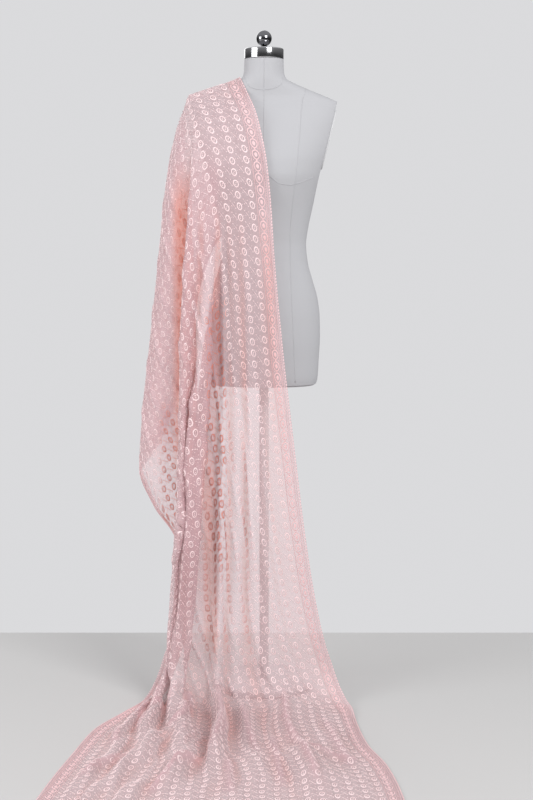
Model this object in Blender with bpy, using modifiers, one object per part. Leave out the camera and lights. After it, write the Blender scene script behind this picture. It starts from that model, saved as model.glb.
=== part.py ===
"""A dupatta stole draped over one shoulder of a limbless dress form on a stand.

The stole is one rectangle of sheer cloth, SHEET_WIDTH wide. It lies over the shoulder at -X, falls
down the front to the floor and runs on as a train towards -Y. What is too wide for the shoulder
hangs off its end as a wing, turns round at the wing's outer edge and rises behind it to the pleats
that hold it behind the shoulder.

Metres, +Z up, the front towards -Y. The origin is the centre of the stand's underside.
"""
import math

import bmesh
import bpy
import numpy as np

# ---- The stole -------------------------------------------------------------------------------
SHEET_WIDTH = 0.92
BORDER = 0.040            # width of the edging band along each long edge
WALL = 0.0012             # thickness of the cloth wall
SEAM = 0.0003             # gap between two pieces that are sewn together
FORM_CLEARANCE = 0.0020   # from the form to the middle of the cloth wall
FOLD_TOP = 1.47           # height where the folds of the front begin
WING_CORNER = 0.577       # height of the wing's lowest corner
FINE_CREASES = 0.10       # share of the width that lies in creases too fine for these walls
FOOT_RADIUS = 0.10        # radius of the bend where the fall meets the floor
SOFT_CORNER = 0.004       # rounding where the hanging cloth meets the form

# ---- The form and its stand ------------------------------------------------------------------
FORM_POWER = 2.35         # 2 is an ellipse, more is squarer
FORM_SIDES = 36
# height, half width, depth of the front, depth of the back
FORM_SECTIONS = (
    (0.829, 0.134, 0.089, 0.094),
    (0.833, 0.140, 0.095, 0.101),
    (0.842, 0.143, 0.098, 0.104),
    (0.900, 0.147, 0.103, 0.112),
    (0.960, 0.150, 0.107, 0.118),
    (1.010, 0.149, 0.107, 0.116),
    (1.060, 0.143, 0.103, 0.106),
    (1.110, 0.129, 0.096, 0.090),
    (1.160, 0.116, 0.089, 0.077),
    (1.205, 0.112, 0.086, 0.073),
    (1.250, 0.118, 0.090, 0.076),
    (1.300, 0.129, 0.100, 0.083),
    (1.345, 0.141, 0.114, 0.090),
    (1.385, 0.154, 0.124, 0.095),
    (1.420, 0.166, 0.121, 0.098),
    (1.460, 0.179, 0.108, 0.099),
    (1.500, 0.190, 0.090, 0.096),
    (1.535, 0.198, 0.074, 0.087),
    (1.560, 0.199, 0.060, 0.075),
    (1.577, 0.191, 0.048, 0.062),
    (1.590, 0.160, 0.046, 0.056),
    (1.607, 0.118, 0.048, 0.054),
    (1.622, 0.082, 0.050, 0.053),
    (1.634, 0.060, 0.051, 0.053),
    (1.650, 0.053, 0.050, 0.052),
    (1.684, 0.0515, 0.0500, 0.0515),
)
ARM_PLATE_TOP = (0.1935, 1.563)      # x and height of the arm plate's outer face
ARM_PLATE_BOTTOM = (0.1510, 1.391)
ARM_PLATE_HALF_WIDTH = 0.040
ARM_PLATE_HALF_HEIGHT = 0.080
ARM_PLATE_THICKNESS = 0.004
ARM_CUT = (0.06, 0.24, 0.30)         # block that cuts off an arm: outwards, through and tall
CAP_RADIUS = 0.0515
CAP_HEIGHT = 0.028
BALL_RADIUS = 0.0205
BALL_STEM = (0.0115, 0.006)          # radius and height of the stem that the ball stands on
POLE_RADIUS = 0.0125
BASE_RADIUS = 0.135
BASE_THICKNESS = 0.016
PIECE_GAP = 0.0003

# ---- The fold lines of the front -------------------------------------------------------------
# Each row is one line down the cloth, from the neck edge to the wing's turned edge. The columns
# are its x at each height, in millimetres, from the ridge of the shoulder to the floor.
HEIGHTS = (1.59, 1.50, 1.38, 1.15, 0.92, 0.74, 0.60, 0.50, 0.40, 0.26, 0.12, 0.00)
FALL_LINES = {
    "neck_edge":      (-63, -16, 12, 29, 51, 72, 89, 101, 115, 138, 172, 230),
    "border_seam":    (-101, -52, -16, 10, 21, 38, 52, 63, 77, 100, 134, 190),
    "small_crest":    (-108, -62, -30, -12, -2, 6, 14, 21, 30, 48, 76, 128),
    "middle_crest":   (-114, -72, -43, -37, -36, -35, -33, -30, -27, -19, 2, 62),
    "middle_valley":  (-120, -82, -58, -57, -52, -49, -48, -47, -47, -47, -42, -6),
    "low_crest":      (-126, -92, -74, -74, -70, -69, -68, -68, -69, -72, -76, -62),
    "shade_valley":   (-131, -101, -88, -90, -87, -88, -90, -92, -94, -97, -102, -96),
    "long_crest":     (-136, -108, -99, -103, -101, -103, -106, -109, -111, -115, -121, -122),
    "dark_valley":    (-141, -116, -110, -116, -118, -124, -130, -135, -138, -143, -151, -160),
    "roll_root":      (-146, -124, -118, -123, -162, -183, -196, -202, -207, -214, -216, -206),
    "roll_edge":      (-151, -133, -130, -131, -132, -143, -152, -160, -168, -180, -198, -214),
    "roll_crest":     (-157, -143, -144, -144, -160, -178, -190, -199, -207, -222, -238, -240),
    "side_valley":    (-163, -154, -158, -163, -178, -193, -203, -209, -216, -228, -243, -254),
    "side_crest":     (-169, -164, -172, -184, -198, -207, -213, -219, -226, -238, -252, -266),
    "side_edge":      (-175, -176, -188, -207, -220, -222, -226, -230, -236, -245, -259, -282),
    "wing_valley":    (-181, -185, -186, -178, -174, -172, -172, -174, -178, -190, -218, -290),
    "wing_inner":     (-188, -201, -216, -222, -224, -226, -228, -226, -220, -238, -252, -301),
    "wing_outer":     (-194, -217, -241, -261, -280, -296, -302, -272, -216, -203, -226, -314),
    "turned_edge":    (-200, -233, -258, -284, -310, -330, -338, -299, -238, -242, -262, -356),
}
LINES = tuple(FALL_LINES)
WING_SEAM = 2 * LINES.index("wing_valley") + 1       # in half steps from line to line
# How far each line stands proud of the fold's floor, as shares of one common fold depth, at
# RELIEF_HEIGHTS. The depth itself follows from the width of the cloth.
RELIEF_HEIGHTS = (1.15, 0.50, 0.00)
RELIEF = {
    "neck_edge":      (0.60, 0.16, 0.10),
    "border_seam":    (0.00, 0.08, 0.00),
    "small_crest":    (0.12, 0.14, 0.14),
    "middle_crest":   (0.36, 0.42, 0.50),
    "middle_valley":  (0.04, 0.04, 0.05),
    "low_crest":      (0.20, 0.22, 0.26),
    "shade_valley":   (0.12, 0.12, 0.10),
    "long_crest":     (0.50, 0.56, 0.62),
    "dark_valley":    (0.05, 0.05, 0.00),
    "roll_root":      (0.18, 0.20, 0.10),
    "roll_edge":      (0.78, 0.80, 0.60),
    "roll_crest":     (1.00, 1.00, 0.95),
    "side_valley":    (0.30, 0.30, 0.20),
    "side_crest":     (0.85, 0.88, 0.75),
    "side_edge":      (0.45, 0.45, 0.50),
    "wing_valley":    (0.00, 0.00, 0.10),
    "wing_inner":     (0.10, 0.10, 0.40),
    "wing_outer":     (0.04, 0.04, 0.20),
    "turned_edge":    (0.00, 0.00, 0.00),
}
# How far back the lines of the wing hang, in millimetres, at HEIGHTS.
SET_BACK = {
    "side_edge":      (0, 0, 2, 6, 8, 8, 8, 8, 6, 4, 0, 0),
    "wing_valley":    (0, 8, 16, 24, 26, 28, 30, 30, 28, 24, 16, 0),
    "wing_inner":     (0, 26, 36, 40, 42, 44, 46, 46, 44, 36, 24, 0),
    "wing_outer":     (0, 56, 66, 66, 66, 68, 68, 64, 58, 46, 34, 0),
    "turned_edge":    (0, 112, 138, 130, 124, 120, 116, 108, 98, 82, 58, 0),
}
# The plane that the folds stand on: how far in front of the stand's middle it hangs, at HEIGHTS.
FALL_FRONT = (0.0, 0.100, 0.134, 0.128, 0.126, 0.126, 0.126, 0.126, 0.126, 0.126, 0.126, 0.126)

# The cloth's ridge over the shoulder: x and height. Its layers stand a little off the form.
RIDGE = ((-0.063, 1.640), (-0.087, 1.629), (-0.127, 1.617), (-0.161, 1.606), (-0.203, 1.592))
RIDGE_ROUND = 0.024       # radius of the cloth's bend over the ridge

# ---- The train -------------------------------------------------------------------------------
# The same lines on the floor: x in millimetres at distances from the foot of the fall.
TRAIN_STEPS = (0.00, 0.12, 0.25, 0.38, 0.50, 0.62)
HEM_SLANT = 0.25          # how much further the train runs at its outer edge
SETTLE = 0.0015           # how far the train sinks flat between its ridges
TRAIN_LINES = {
    "neck_edge":      (230, 238, 253, 287, 303, 311),
    "border_seam":    (190, 198, 213, 247, 263, 271),
    "small_crest":    (128, 140, 156, 184, 208, 220),
    "middle_crest":   (62, 57, 72, 92, 114, 128),
    "middle_valley":  (-6, 6, 22, 38, 56, 66),
    "low_crest":      (-62, -46, -34, -22, -6, 6),
    "shade_valley":   (-96, -82, -78, -72, -66, -56),
    "long_crest":     (-122, -106, -112, -116, -118, -112),
    "dark_valley":    (-160, -138, -140, -158, -176, -180),
    "roll_root":      (-206, -172, -170, -196, -226, -236),
    "roll_edge":      (-214, -198, -200, -232, -262, -276),
    "roll_crest":     (-240, -230, -240, -272, -304, -320),
    "side_valley":    (-254, -258, -274, -306, -338, -354),
    "side_crest":     (-266, -284, -306, -336, -366, -384),
    "side_edge":      (-282, -308, -336, -364, -392, -410),
    "wing_valley":    (-290, -322, -352, -378, -402, -420),
    "wing_inner":     (-301, -340, -374, -398, -420, -438),
    "wing_outer":     (-314, -370, -404, -430, -450, -468),
    "turned_edge":    (-356, -426, -456, -483, -502, -520),
}
TRAIN_RELIEF = {
    "neck_edge":      (0.10, 0.00, 0.00, 0.00, 0.00, 0.00),
    "border_seam":    (0.00, 0.10, 0.00, 0.05, 0.00, 0.00),
    "small_crest":    (0.18, 0.12, 0.30, 0.10, 0.30, 0.25),
    "middle_crest":   (0.62, 0.42, 0.20, 0.85, 0.70, 0.40),
    "middle_valley":  (0.05, 0.00, 0.10, 0.00, 0.00, 0.00),
    "low_crest":      (0.30, 0.50, 0.15, 0.45, 0.20, 0.50),
    "shade_valley":   (0.10, 0.05, 0.10, 0.00, 0.30, 0.00),
    "long_crest":     (0.70, 0.85, 0.95, 0.35, 0.10, 0.60),
    "dark_valley":    (0.00, 0.00, 0.00, 0.10, 0.45, 0.10),
    "roll_root":      (0.10, 0.20, 0.30, 0.90, 0.20, 0.00),
    "roll_edge":      (0.60, 0.80, 0.60, 0.20, 0.05, 0.40),
    "roll_crest":     (0.95, 0.60, 0.10, 0.05, 0.80, 0.10),
    "side_valley":    (0.20, 0.05, 0.75, 0.00, 0.15, 0.00),
    "side_crest":     (0.75, 0.80, 0.20, 0.50, 0.00, 0.45),
    "side_edge":      (0.50, 0.30, 0.00, 0.10, 0.55, 0.10),
    "wing_valley":    (0.10, 0.00, 0.35, 0.00, 0.10, 0.00),
    "wing_inner":     (0.40, 0.50, 0.10, 0.45, 0.00, 0.35),
    "wing_outer":     (0.20, 0.05, 0.00, 0.00, 0.10, 0.00),
    "turned_edge":    (0.00, 0.00, 0.00, 0.00, 0.00, 0.00),
}

# ---- The back --------------------------------------------------------------------------------
PLEATS = 8.76             # pleats held behind the shoulder; each edging starts on a slope
PLEAT_START = -0.13       # part of a pleat by which the first one starts past the neck edge
PLEAT_DEPTH = 0.034
PLEAT_REACH = 0.30        # threads shorter than this have shallower pleats
PLEAT_GROWTH = 1.3        # above 1, the pleats deepen late on the way to the hem
HEM_NECK_END = (-0.070, 1.585)       # x and height of the pleated end, on the neck side
HEM_OUTER_END = (-0.096, 1.245)      # and on the outer side
# Where the cloth heads as it leaves the front and as it comes in to the pleats, across its width:
# share of the width, heading on leaving, heading on coming in. A heading's length is the share of
# the way over which it is held.
BACK_HEADINGS = (
    (0.00, (-0.05, 0.36, 0.00), (0.00, 0.02, -0.40)),
    (0.12, (-0.03, 0.36, 0.02), (0.18, 0.04, -0.35)),
    (0.22, (0.20, 0.24, 0.12), (0.38, 0.04, -0.10)),
    (0.45, (0.24, 0.08, 0.22), (0.30, 0.04, 0.14)),
    (1.00, (0.23, 0.05, 0.27), (0.18, 0.02, 0.14)),
)


def smooth_steps(positions, values):
    """Slopes of a curve through the values that rises and falls only where they do."""
    gaps = np.diff(positions)
    rates = np.diff(values, axis=0) / gaps[:, None]
    slopes = np.zeros_like(values)
    before, after = rates[:-1], rates[1:]
    same_way = before * after > 0
    weight_a = 2 * gaps[1:, None] + gaps[:-1, None]
    weight_b = gaps[1:, None] + 2 * gaps[:-1, None]
    safe_before = np.where(same_way, before, 1.0)
    safe_after = np.where(same_way, after, 1.0)
    mean = (weight_a + weight_b) / (weight_a / safe_before + weight_b / safe_after)
    slopes[1:-1] = np.where(same_way, mean, 0.0)
    slopes[0] = rates[0]
    slopes[-1] = rates[-1]
    return slopes


def curve_through(positions, values, where):
    """Values of the smooth curve at the places in where; values has one column per quantity."""
    positions = np.asarray(positions, float)
    values = np.asarray(values, float)
    single = values.ndim == 1
    if single:
        values = values[:, None]
    slopes = smooth_steps(positions, values)
    where = np.clip(np.asarray(where, float), positions[0], positions[-1])
    left = np.clip(np.searchsorted(positions, where, side="right") - 1, 0, len(positions) - 2)
    gap = (positions[left + 1] - positions[left])[..., None]
    part = (where - positions[left])[..., None] / gap
    start, end = values[left], values[left + 1]
    result = (start * (1 + 2 * part) * (1 - part) ** 2 + slopes[left] * gap * part * (1 - part) ** 2
              + end * part ** 2 * (3 - 2 * part) + slopes[left + 1] * gap * part ** 2 * (part - 1))
    return result[..., 0] if single else result


# ---- The form's surface ----------------------------------------------------------------------
FORM_TABLE = np.array(FORM_SECTIONS)


def form_section(height, grow=0.0):
    """Half width, front depth and back depth at a height, grown outwards by grow."""
    sizes = curve_through(FORM_TABLE[:, 0], FORM_TABLE[:, 1:], np.asarray(height, float) - grow)
    return sizes[..., 0] + grow, sizes[..., 1] + grow, sizes[..., 2] + grow


def form_depth(x, height, grow=0.0):
    """How far the form's front and back reach at x, 0 beside it."""
    half, front, back = form_section(height, grow)
    inside = np.clip(1.0 - (np.abs(x) / half) ** FORM_POWER, 0.0, 1.0)
    share = inside ** (1.0 / FORM_POWER)
    return front * share, back * share


# ---- The front of the cloth ------------------------------------------------------------------
FOLD_HEIGHTS = np.array(HEIGHTS)[::-1]


def by_height(values, height):
    """A value given at HEIGHTS, read at another height."""
    return curve_through(FOLD_HEIGHTS, np.array(values, float)[::-1], height)


def blend_in(value, start, end):
    """0 before start, 1 after end, smooth between them."""
    part = np.clip((value - start) / (end - start), 0.0, 1.0)
    return part * part * (3 - 2 * part)


def soft_max(first, second, softness):
    """The larger of two numbers, with the corner between them rounded."""
    gap = first - second
    return 0.5 * (first + second + np.sqrt(gap * gap + softness * softness))


TURN_STEPS = ((0.0042, 0.0085), (0.0130, 0.0120))   # inwards and back from the turned edge
TURN_LENGTH = 0.019       # width of cloth in that turn
TURN_START = (0.2, 0.08)  # the turn's size at the ridge, and how far down it is full size
DEPTH_LIMIT = 0.16        # no fold is deeper than this
DEPTH_HALVINGS = 22
DEPTH_SAMPLES = 6         # points from line to line when a section's width is measured


def section_points(x, stand, samples):
    """A section's points through its fold lines: x across, stand out towards the front."""
    places = np.arange(len(x), dtype=float)
    fine = np.linspace(0, len(x) - 1, (len(x) - 1) * samples + 1)
    return curve_through(places, np.stack([x, stand], axis=1), fine)


def length_along(points):
    """Running length along a row of points."""
    steps = np.linalg.norm(np.diff(points, axis=0), axis=1)
    return np.concatenate([[0.0], np.cumsum(steps)])


def fold_depth(x, back, relief, cloth_width):
    """The common fold depth that takes up the cloth's width across one section."""
    taken = cloth_width * (1 - FINE_CREASES)
    low, high = 0.0, DEPTH_LIMIT
    for _ in range(DEPTH_HALVINGS):
        middle = 0.5 * (low + high)
        section = section_points(x, relief * middle - back, DEPTH_SAMPLES)
        if length_along(section)[-1] < taken:
            low = middle
        else:
            high = middle
    return low


def lines_at(level):
    """X, set back and relief of each fold line at one level of the fall."""
    x = np.array([by_height(FALL_LINES[name], level) for name in LINES]) / 1000.0
    flat = (0,) * len(HEIGHTS)
    back = np.array([by_height(SET_BACK.get(name, flat), level) for name in LINES]) / 1000.0
    relief = np.array([curve_through(RELIEF_HEIGHTS[::-1], RELIEF[name][::-1], level)
                       for name in LINES])
    return x, back, relief


def start_width():
    """Width of cloth across the front where the folds begin."""
    x, back, _ = lines_at(FOLD_TOP)
    return length_along(section_points(x, -back, DEPTH_SAMPLES))[-1]


START_WIDTH = start_width()


def width_at(level):
    """How much of the cloth's width hangs in front at a level, up to the wing's turned edge."""
    share = min(max((FOLD_TOP - level) / (FOLD_TOP - WING_CORNER), 0.0), 1.0)
    return START_WIDTH + (SHEET_WIDTH - START_WIDTH) * share


def level_of(width):
    """The level at which the turned edge, with its turn, has come to this width of cloth."""
    share = (width - TURN_LENGTH - START_WIDTH) / (SHEET_WIDTH - START_WIDTH)
    return FOLD_TOP - share * (FOLD_TOP - WING_CORNER)


def fall_section(level, samples):
    """One section of the fall: its points and the width of cloth from the neck edge to each."""
    x, back, relief = lines_at(level)
    depth = fold_depth(x, back, relief, width_at(level)) if level < FOLD_TOP else 0.0
    stand = relief * depth - back
    if level > WING_CORNER:
        least, reach = TURN_START
        size = max(blend_in(HEIGHTS[0] - level, 0.0, reach), least)
        inwards, behind = np.array(TURN_STEPS).T * size
        x = np.append(x, x[-1] + inwards)
        stand = np.append(stand, stand[-1] - behind)
    flat = section_points(x, stand, samples)
    across, stand = flat[:, 0], flat[:, 1]
    if level < FOOT_RADIUS:
        turn = math.pi / 2 * (1.0 - level / FOOT_RADIUS)
        front = FALL_FRONT[-1] + FOOT_RADIUS * (1 - math.cos(turn)) + stand * math.cos(turn)
        height = FOOT_RADIUS * (1 - math.sin(turn)) + stand * math.sin(turn)
        height = np.maximum(height, 0.0) + WALL / 2
    else:
        front = by_height(FALL_FRONT, level) + stand
        height = np.full_like(across, level)
        if level > HEIGHTS[2]:
            share = (level - HEIGHTS[2]) / (HEIGHTS[0] - HEIGHTS[2])
            ridge_x, ridge_z = np.array(RIDGE[::-1]).T
            top = np.interp(across, ridge_x, ridge_z)
            height = HEIGHTS[2] + (top - HEIGHTS[2]) * share
            drop = np.clip(top - height, 0.0, RIDGE_ROUND)
            over = np.sqrt(2 * RIDGE_ROUND * drop - drop ** 2)
            over *= blend_in(across, RIDGE[-1][0], RIDGE[-2][0])
            edge = (len(LINES) - 1) * samples
            lifted = np.maximum(front, over)
            lifted[edge + 1:] = front[edge + 1:] + lifted[edge] - front[edge]
            front = lifted
        half, _, _ = form_section(height, FORM_CLEARANCE)
        on_form, _ = form_depth(across, height, FORM_CLEARANCE)
        on_form = np.where(np.abs(across) < half, on_form, -1.0)
        front = np.maximum(soft_max(front, on_form, SOFT_CORNER), on_form)
    points = np.stack([across, -front, height], axis=1)
    width = length_along(points)
    if level < FOLD_TOP:
        width = width * width_at(level) / width[(len(LINES) - 1) * samples]
    return points, width


def at_width(points, width, wanted):
    """Points of a section at the wanted widths of cloth."""
    return np.stack([np.interp(wanted, width, points[:, axis]) for axis in range(3)], axis=1)


# ---- The train -------------------------------------------------------------------------------
def train_section(step, samples):
    """One section of the train, at a distance along the floor from the foot of the fall."""
    x = np.array([curve_through(TRAIN_STEPS, TRAIN_LINES[name], step) for name in LINES]) / 1000
    relief = np.array([curve_through(TRAIN_STEPS, TRAIN_RELIEF[name], step) for name in LINES])
    depth = fold_depth(x, np.zeros(len(x)), relief, SHEET_WIDTH)
    flat = section_points(x, relief * depth, samples)
    width = length_along(flat)
    width *= SHEET_WIDTH / width[-1]
    front = FALL_FRONT[-1] + FOOT_RADIUS + step * (1 + HEM_SLANT * width / SHEET_WIDTH)
    settle = SETTLE * blend_in(step, 0.0, TRAIN_STEPS[1])
    height = np.maximum(flat[:, 1] - settle, 0.0) + WALL / 2
    return np.stack([flat[:, 0], -front, height], axis=1), width


# ---- The back --------------------------------------------------------------------------------
def back_path(share, start, steps):
    """The way of one thread from the front's edge at start to the pleats, as rows of points."""
    shares = [row[0] for row in BACK_HEADINGS]
    leaving = curve_through(shares, [row[1] for row in BACK_HEADINGS], share)
    coming = curve_through(shares, [row[2] for row in BACK_HEADINGS], share)
    hem_x, hem_z = np.array(HEM_NECK_END) * (1 - share) + np.array(HEM_OUTER_END) * share
    _, hem_back = form_depth(hem_x, hem_z, 2 * FORM_CLEARANCE)
    end = np.array([hem_x, float(hem_back), hem_z])
    far = np.linalg.norm(end - start)
    first = start + leaving * far
    second = end - coming * far
    t = np.linspace(0.0, 1.0, steps)[:, None]
    path = (start * (1 - t) ** 3 + 3 * first * t * (1 - t) ** 2
            + 3 * second * t ** 2 * (1 - t) + end * t ** 3)
    half, _, _ = form_section(path[:, 2], FORM_CLEARANCE)
    _, on_form = form_depth(path[:, 0], path[:, 2], FORM_CLEARANCE)
    on_form = np.where(np.abs(path[:, 0]) < half, on_form, -1.0)
    path[:, 1] = np.maximum(soft_max(path[:, 1], on_form, SOFT_CORNER), on_form)
    pleat = 0.5 - 0.5 * math.cos(2 * math.pi * (PLEATS * share + PLEAT_START))
    depth = PLEAT_DEPTH * min(far / PLEAT_REACH, 1.0)
    path[:, 1] += depth * pleat * t[:, 0] ** PLEAT_GROWTH
    return path


# ---- Making the solids -----------------------------------------------------------------------
parts = bpy.data.collections.new("dupatta_stole_on_dress_form")
cutters = bpy.data.collections.new("cutters")


def clear_scene():
    for item in list(bpy.data.objects):
        bpy.data.objects.remove(item, do_unlink=True)
    bpy.context.scene.collection.children.link(parts)
    bpy.context.scene.collection.children.link(cutters)


def material(name, colour, roughness, metallic=0.0):
    finish = bpy.data.materials.get(name) or bpy.data.materials.new(name)
    finish.use_nodes = True
    shader = finish.node_tree.nodes["Principled BSDF"]
    shader.inputs["Base Color"].default_value = (*colour, 1.0)
    shader.inputs["Roughness"].default_value = roughness
    shader.inputs["Metallic"].default_value = metallic
    return finish


def add_object(name, mesh, finish):
    piece = bpy.data.objects.new(name, mesh)
    parts.objects.link(piece)
    mesh.materials.append(finish)
    return piece


def grid_faces(rows, columns, closed):
    """Quads of a grid of points, row by row; closed joins the last column to the first."""
    faces = []
    for row in range(rows - 1):
        for column in range(columns if closed else columns - 1):
            after = (column + 1) % columns
            faces.append((row * columns + column, row * columns + after,
                          (row + 1) * columns + after, (row + 1) * columns + column))
    return faces


def unit(vectors):
    return vectors / np.linalg.norm(vectors, axis=-1, keepdims=True)


def directions(rows):
    """At each row of points, the direction halfway between the steps before and after it."""
    steps = unit(np.diff(rows, axis=0))
    return unit(np.concatenate([steps[:1], steps[1:] + steps[:-1], steps[-1:]]))


def normals_of(grid):
    """Normals of a grid of points; on the front of the cloth they point outwards."""
    across = directions(grid.swapaxes(0, 1)).swapaxes(0, 1)
    return unit(np.cross(across, directions(grid)))


def pull_in(grid, sides):
    """Draw the named sides of a grid of points in by half a seam."""
    grid = grid.copy()
    for side in sides:
        view = grid if side in ("top", "foot") else grid.swapaxes(0, 1)
        edge, inner = (0, 1) if side in ("top", "neck_side") else (-1, -2)
        along = directions(view[edge])
        inwards = view[inner] - view[edge]
        inwards -= along * np.sum(inwards * along, axis=1, keepdims=True)
        view[edge] += unit(inwards) * SEAM / 2
    return grid


def split_quads(grid):
    """Each quad of a grid as two triangles, split along its shorter diagonal."""
    rows, columns = grid.shape[:2]
    triangles = []
    for row in range(rows - 1):
        for column in range(columns - 1):
            a = row * columns + column
            b, c, d = a + 1, a + columns + 1, a + columns
            falling = np.linalg.norm(grid[row, column] - grid[row + 1, column + 1])
            rising = np.linalg.norm(grid[row, column + 1] - grid[row + 1, column])
            if falling < rising:
                triangles += [(a, b, c), (a, c, d)]
            else:
                triangles += [(a, b, d), (b, c, d)]
    return triangles


def cloth_piece(name, grid, normals, finish, seams):
    """A wall of cloth on both sides of a grid of points.

    Its two faces stand off along normals that are shared with the neighbouring pieces, so that the
    edges on each side of a seam are parallel.
    """
    grid = pull_in(grid, seams)
    rows, columns = grid.shape[:2]
    count = rows * columns
    outer = (grid + normals * WALL / 2).reshape(-1, 3)
    inner = (grid - normals * WALL / 2).reshape(-1, 3)
    triangles = split_quads(grid)
    faces = triangles + [(a + count, c + count, b + count) for a, b, c in triangles]
    rim = list(range(columns))
    rim += [row * columns + columns - 1 for row in range(1, rows)]
    rim += [(rows - 1) * columns + column for column in range(columns - 2, -1, -1)]
    rim += [row * columns for row in range(rows - 2, 0, -1)]
    for start, end in zip(rim, rim[1:] + rim[:1]):
        faces.append((end, start, start + count))
        faces.append((end, start + count, end + count))
    mesh = bpy.data.meshes.new(name)
    mesh.from_pydata([tuple(point) for point in np.concatenate([outer, inner])], [], faces)
    mesh.shade_smooth()
    mesh.set_sharp_from_angle(angle=math.radians(60))
    add_object(name, mesh, finish)


# ---- The stretches of the stole --------------------------------------------------------------
SAMPLES = 2               # points from one fold line to the next
WING_LEVEL = level_of(SHEET_WIDTH - BORDER)
UPPER_LEVELS = (1.59, 1.588, 1.583, 1.575, 1.562, 1.54, 1.51, 1.475, 1.43, 1.38, 1.32, 1.25,
                1.17, 1.08, 0.99, 0.90, 0.82, 0.74)
LOWER_LEVELS = (0.646, 0.635, 0.622, 0.61, 0.58, 0.54, 0.49, 0.44, 0.38, 0.31, 0.23, 0.16, 0.11,
                0.08, 0.055, 0.03, 0.012, 0.0)
WING_ENDS = (0.60, 0.30, 0.20, 0.13, 0.06, 0.0)  # last columns, as shares of WING_TURN
WING_TURN = 0.10          # widest stretch before the wing's outer seam that gets close columns
TRAIN_ROWS = (0.0, 0.03, 0.07, 0.12, 0.17, 0.22, 0.27, 0.32, 0.37, 0.42, 0.47, 0.52, 0.57, 0.62)
BACK_STEPS = 11
BACK_SPACING = 0.018      # widest step between two threads of the back
CORNER_SPACING = 0.0060   # least step between two threads that start at the front's corners
BORDER_THREADS = (0.0, 0.5, 1.0)


def fall_levels():
    """Levels of the fall's rows: the ridge, the wing's last row above the edging, the floor."""
    return UPPER_LEVELS + (WING_LEVEL,) + LOWER_LEVELS


def field_widths(width):
    """Widths of cloth at the field's columns, from the edging's seam to the wing's valley."""
    crest = LINES.index("middle_crest") * SAMPLES
    beside_edging = np.linspace(BORDER, width[crest], 2 * SAMPLES + 1)
    return np.concatenate([beside_edging, width[crest + 1:WING_SEAM * SAMPLES // 2 + 1]])


def wing_widths(width):
    """Widths of cloth at the wing's columns, from the valley to the outer edging or the turn."""
    outer_fold = LINES.index("wing_outer") * SAMPLES
    folds = width[WING_SEAM * SAMPLES // 2:outer_fold + 1]
    end = min(width[-1], SHEET_WIDTH - BORDER)
    turn = min(end - folds[-1], WING_TURN)
    return np.concatenate([folds, [end - turn * share for share in WING_ENDS]])


def edging_widths(start):
    """Widths of cloth at the columns of an edging that starts at a width."""
    return [start + BORDER * part for part in BORDER_THREADS]


def outer_edging(levels):
    """The outer edging's front: threads that start round the turned edge and reach the floor."""
    grid = []
    for thread in edging_widths(SHEET_WIDTH - BORDER):
        stretch = level_of(thread) / WING_LEVEL
        column = []
        for level in levels:
            points, width = fall_section(level * stretch, SAMPLES)
            column.append(at_width(points, width, [thread])[0])
        grid.append(column)
    return np.array(grid).swapaxes(0, 1)


def refined(values, widest):
    """The values with steps over the widest split evenly."""
    result = [values[0]]
    for value in values[1:]:
        count = math.ceil((value - result[-1]) / widest)
        result += list(np.linspace(result[-1], value, count + 1)[1:])
    return np.array(result)


def back_threads(corner_widths, start, end):
    """Widths of cloth at the back's columns: the front's corners, with wide steps split."""
    wanted = [start]
    for value in corner_widths:
        if value - wanted[-1] > CORNER_SPACING and end - value > CORNER_SPACING:
            wanted.append(value)
    return refined(wanted + [end], BACK_SPACING)


def back_grid(threads, starts):
    """Points of the back, row by row from the front's edge to the pleats."""
    return np.array([back_path(thread / SHEET_WIDTH, start, BACK_STEPS)
                     for thread, start in zip(threads, starts)]).swapaxes(0, 1)


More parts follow.
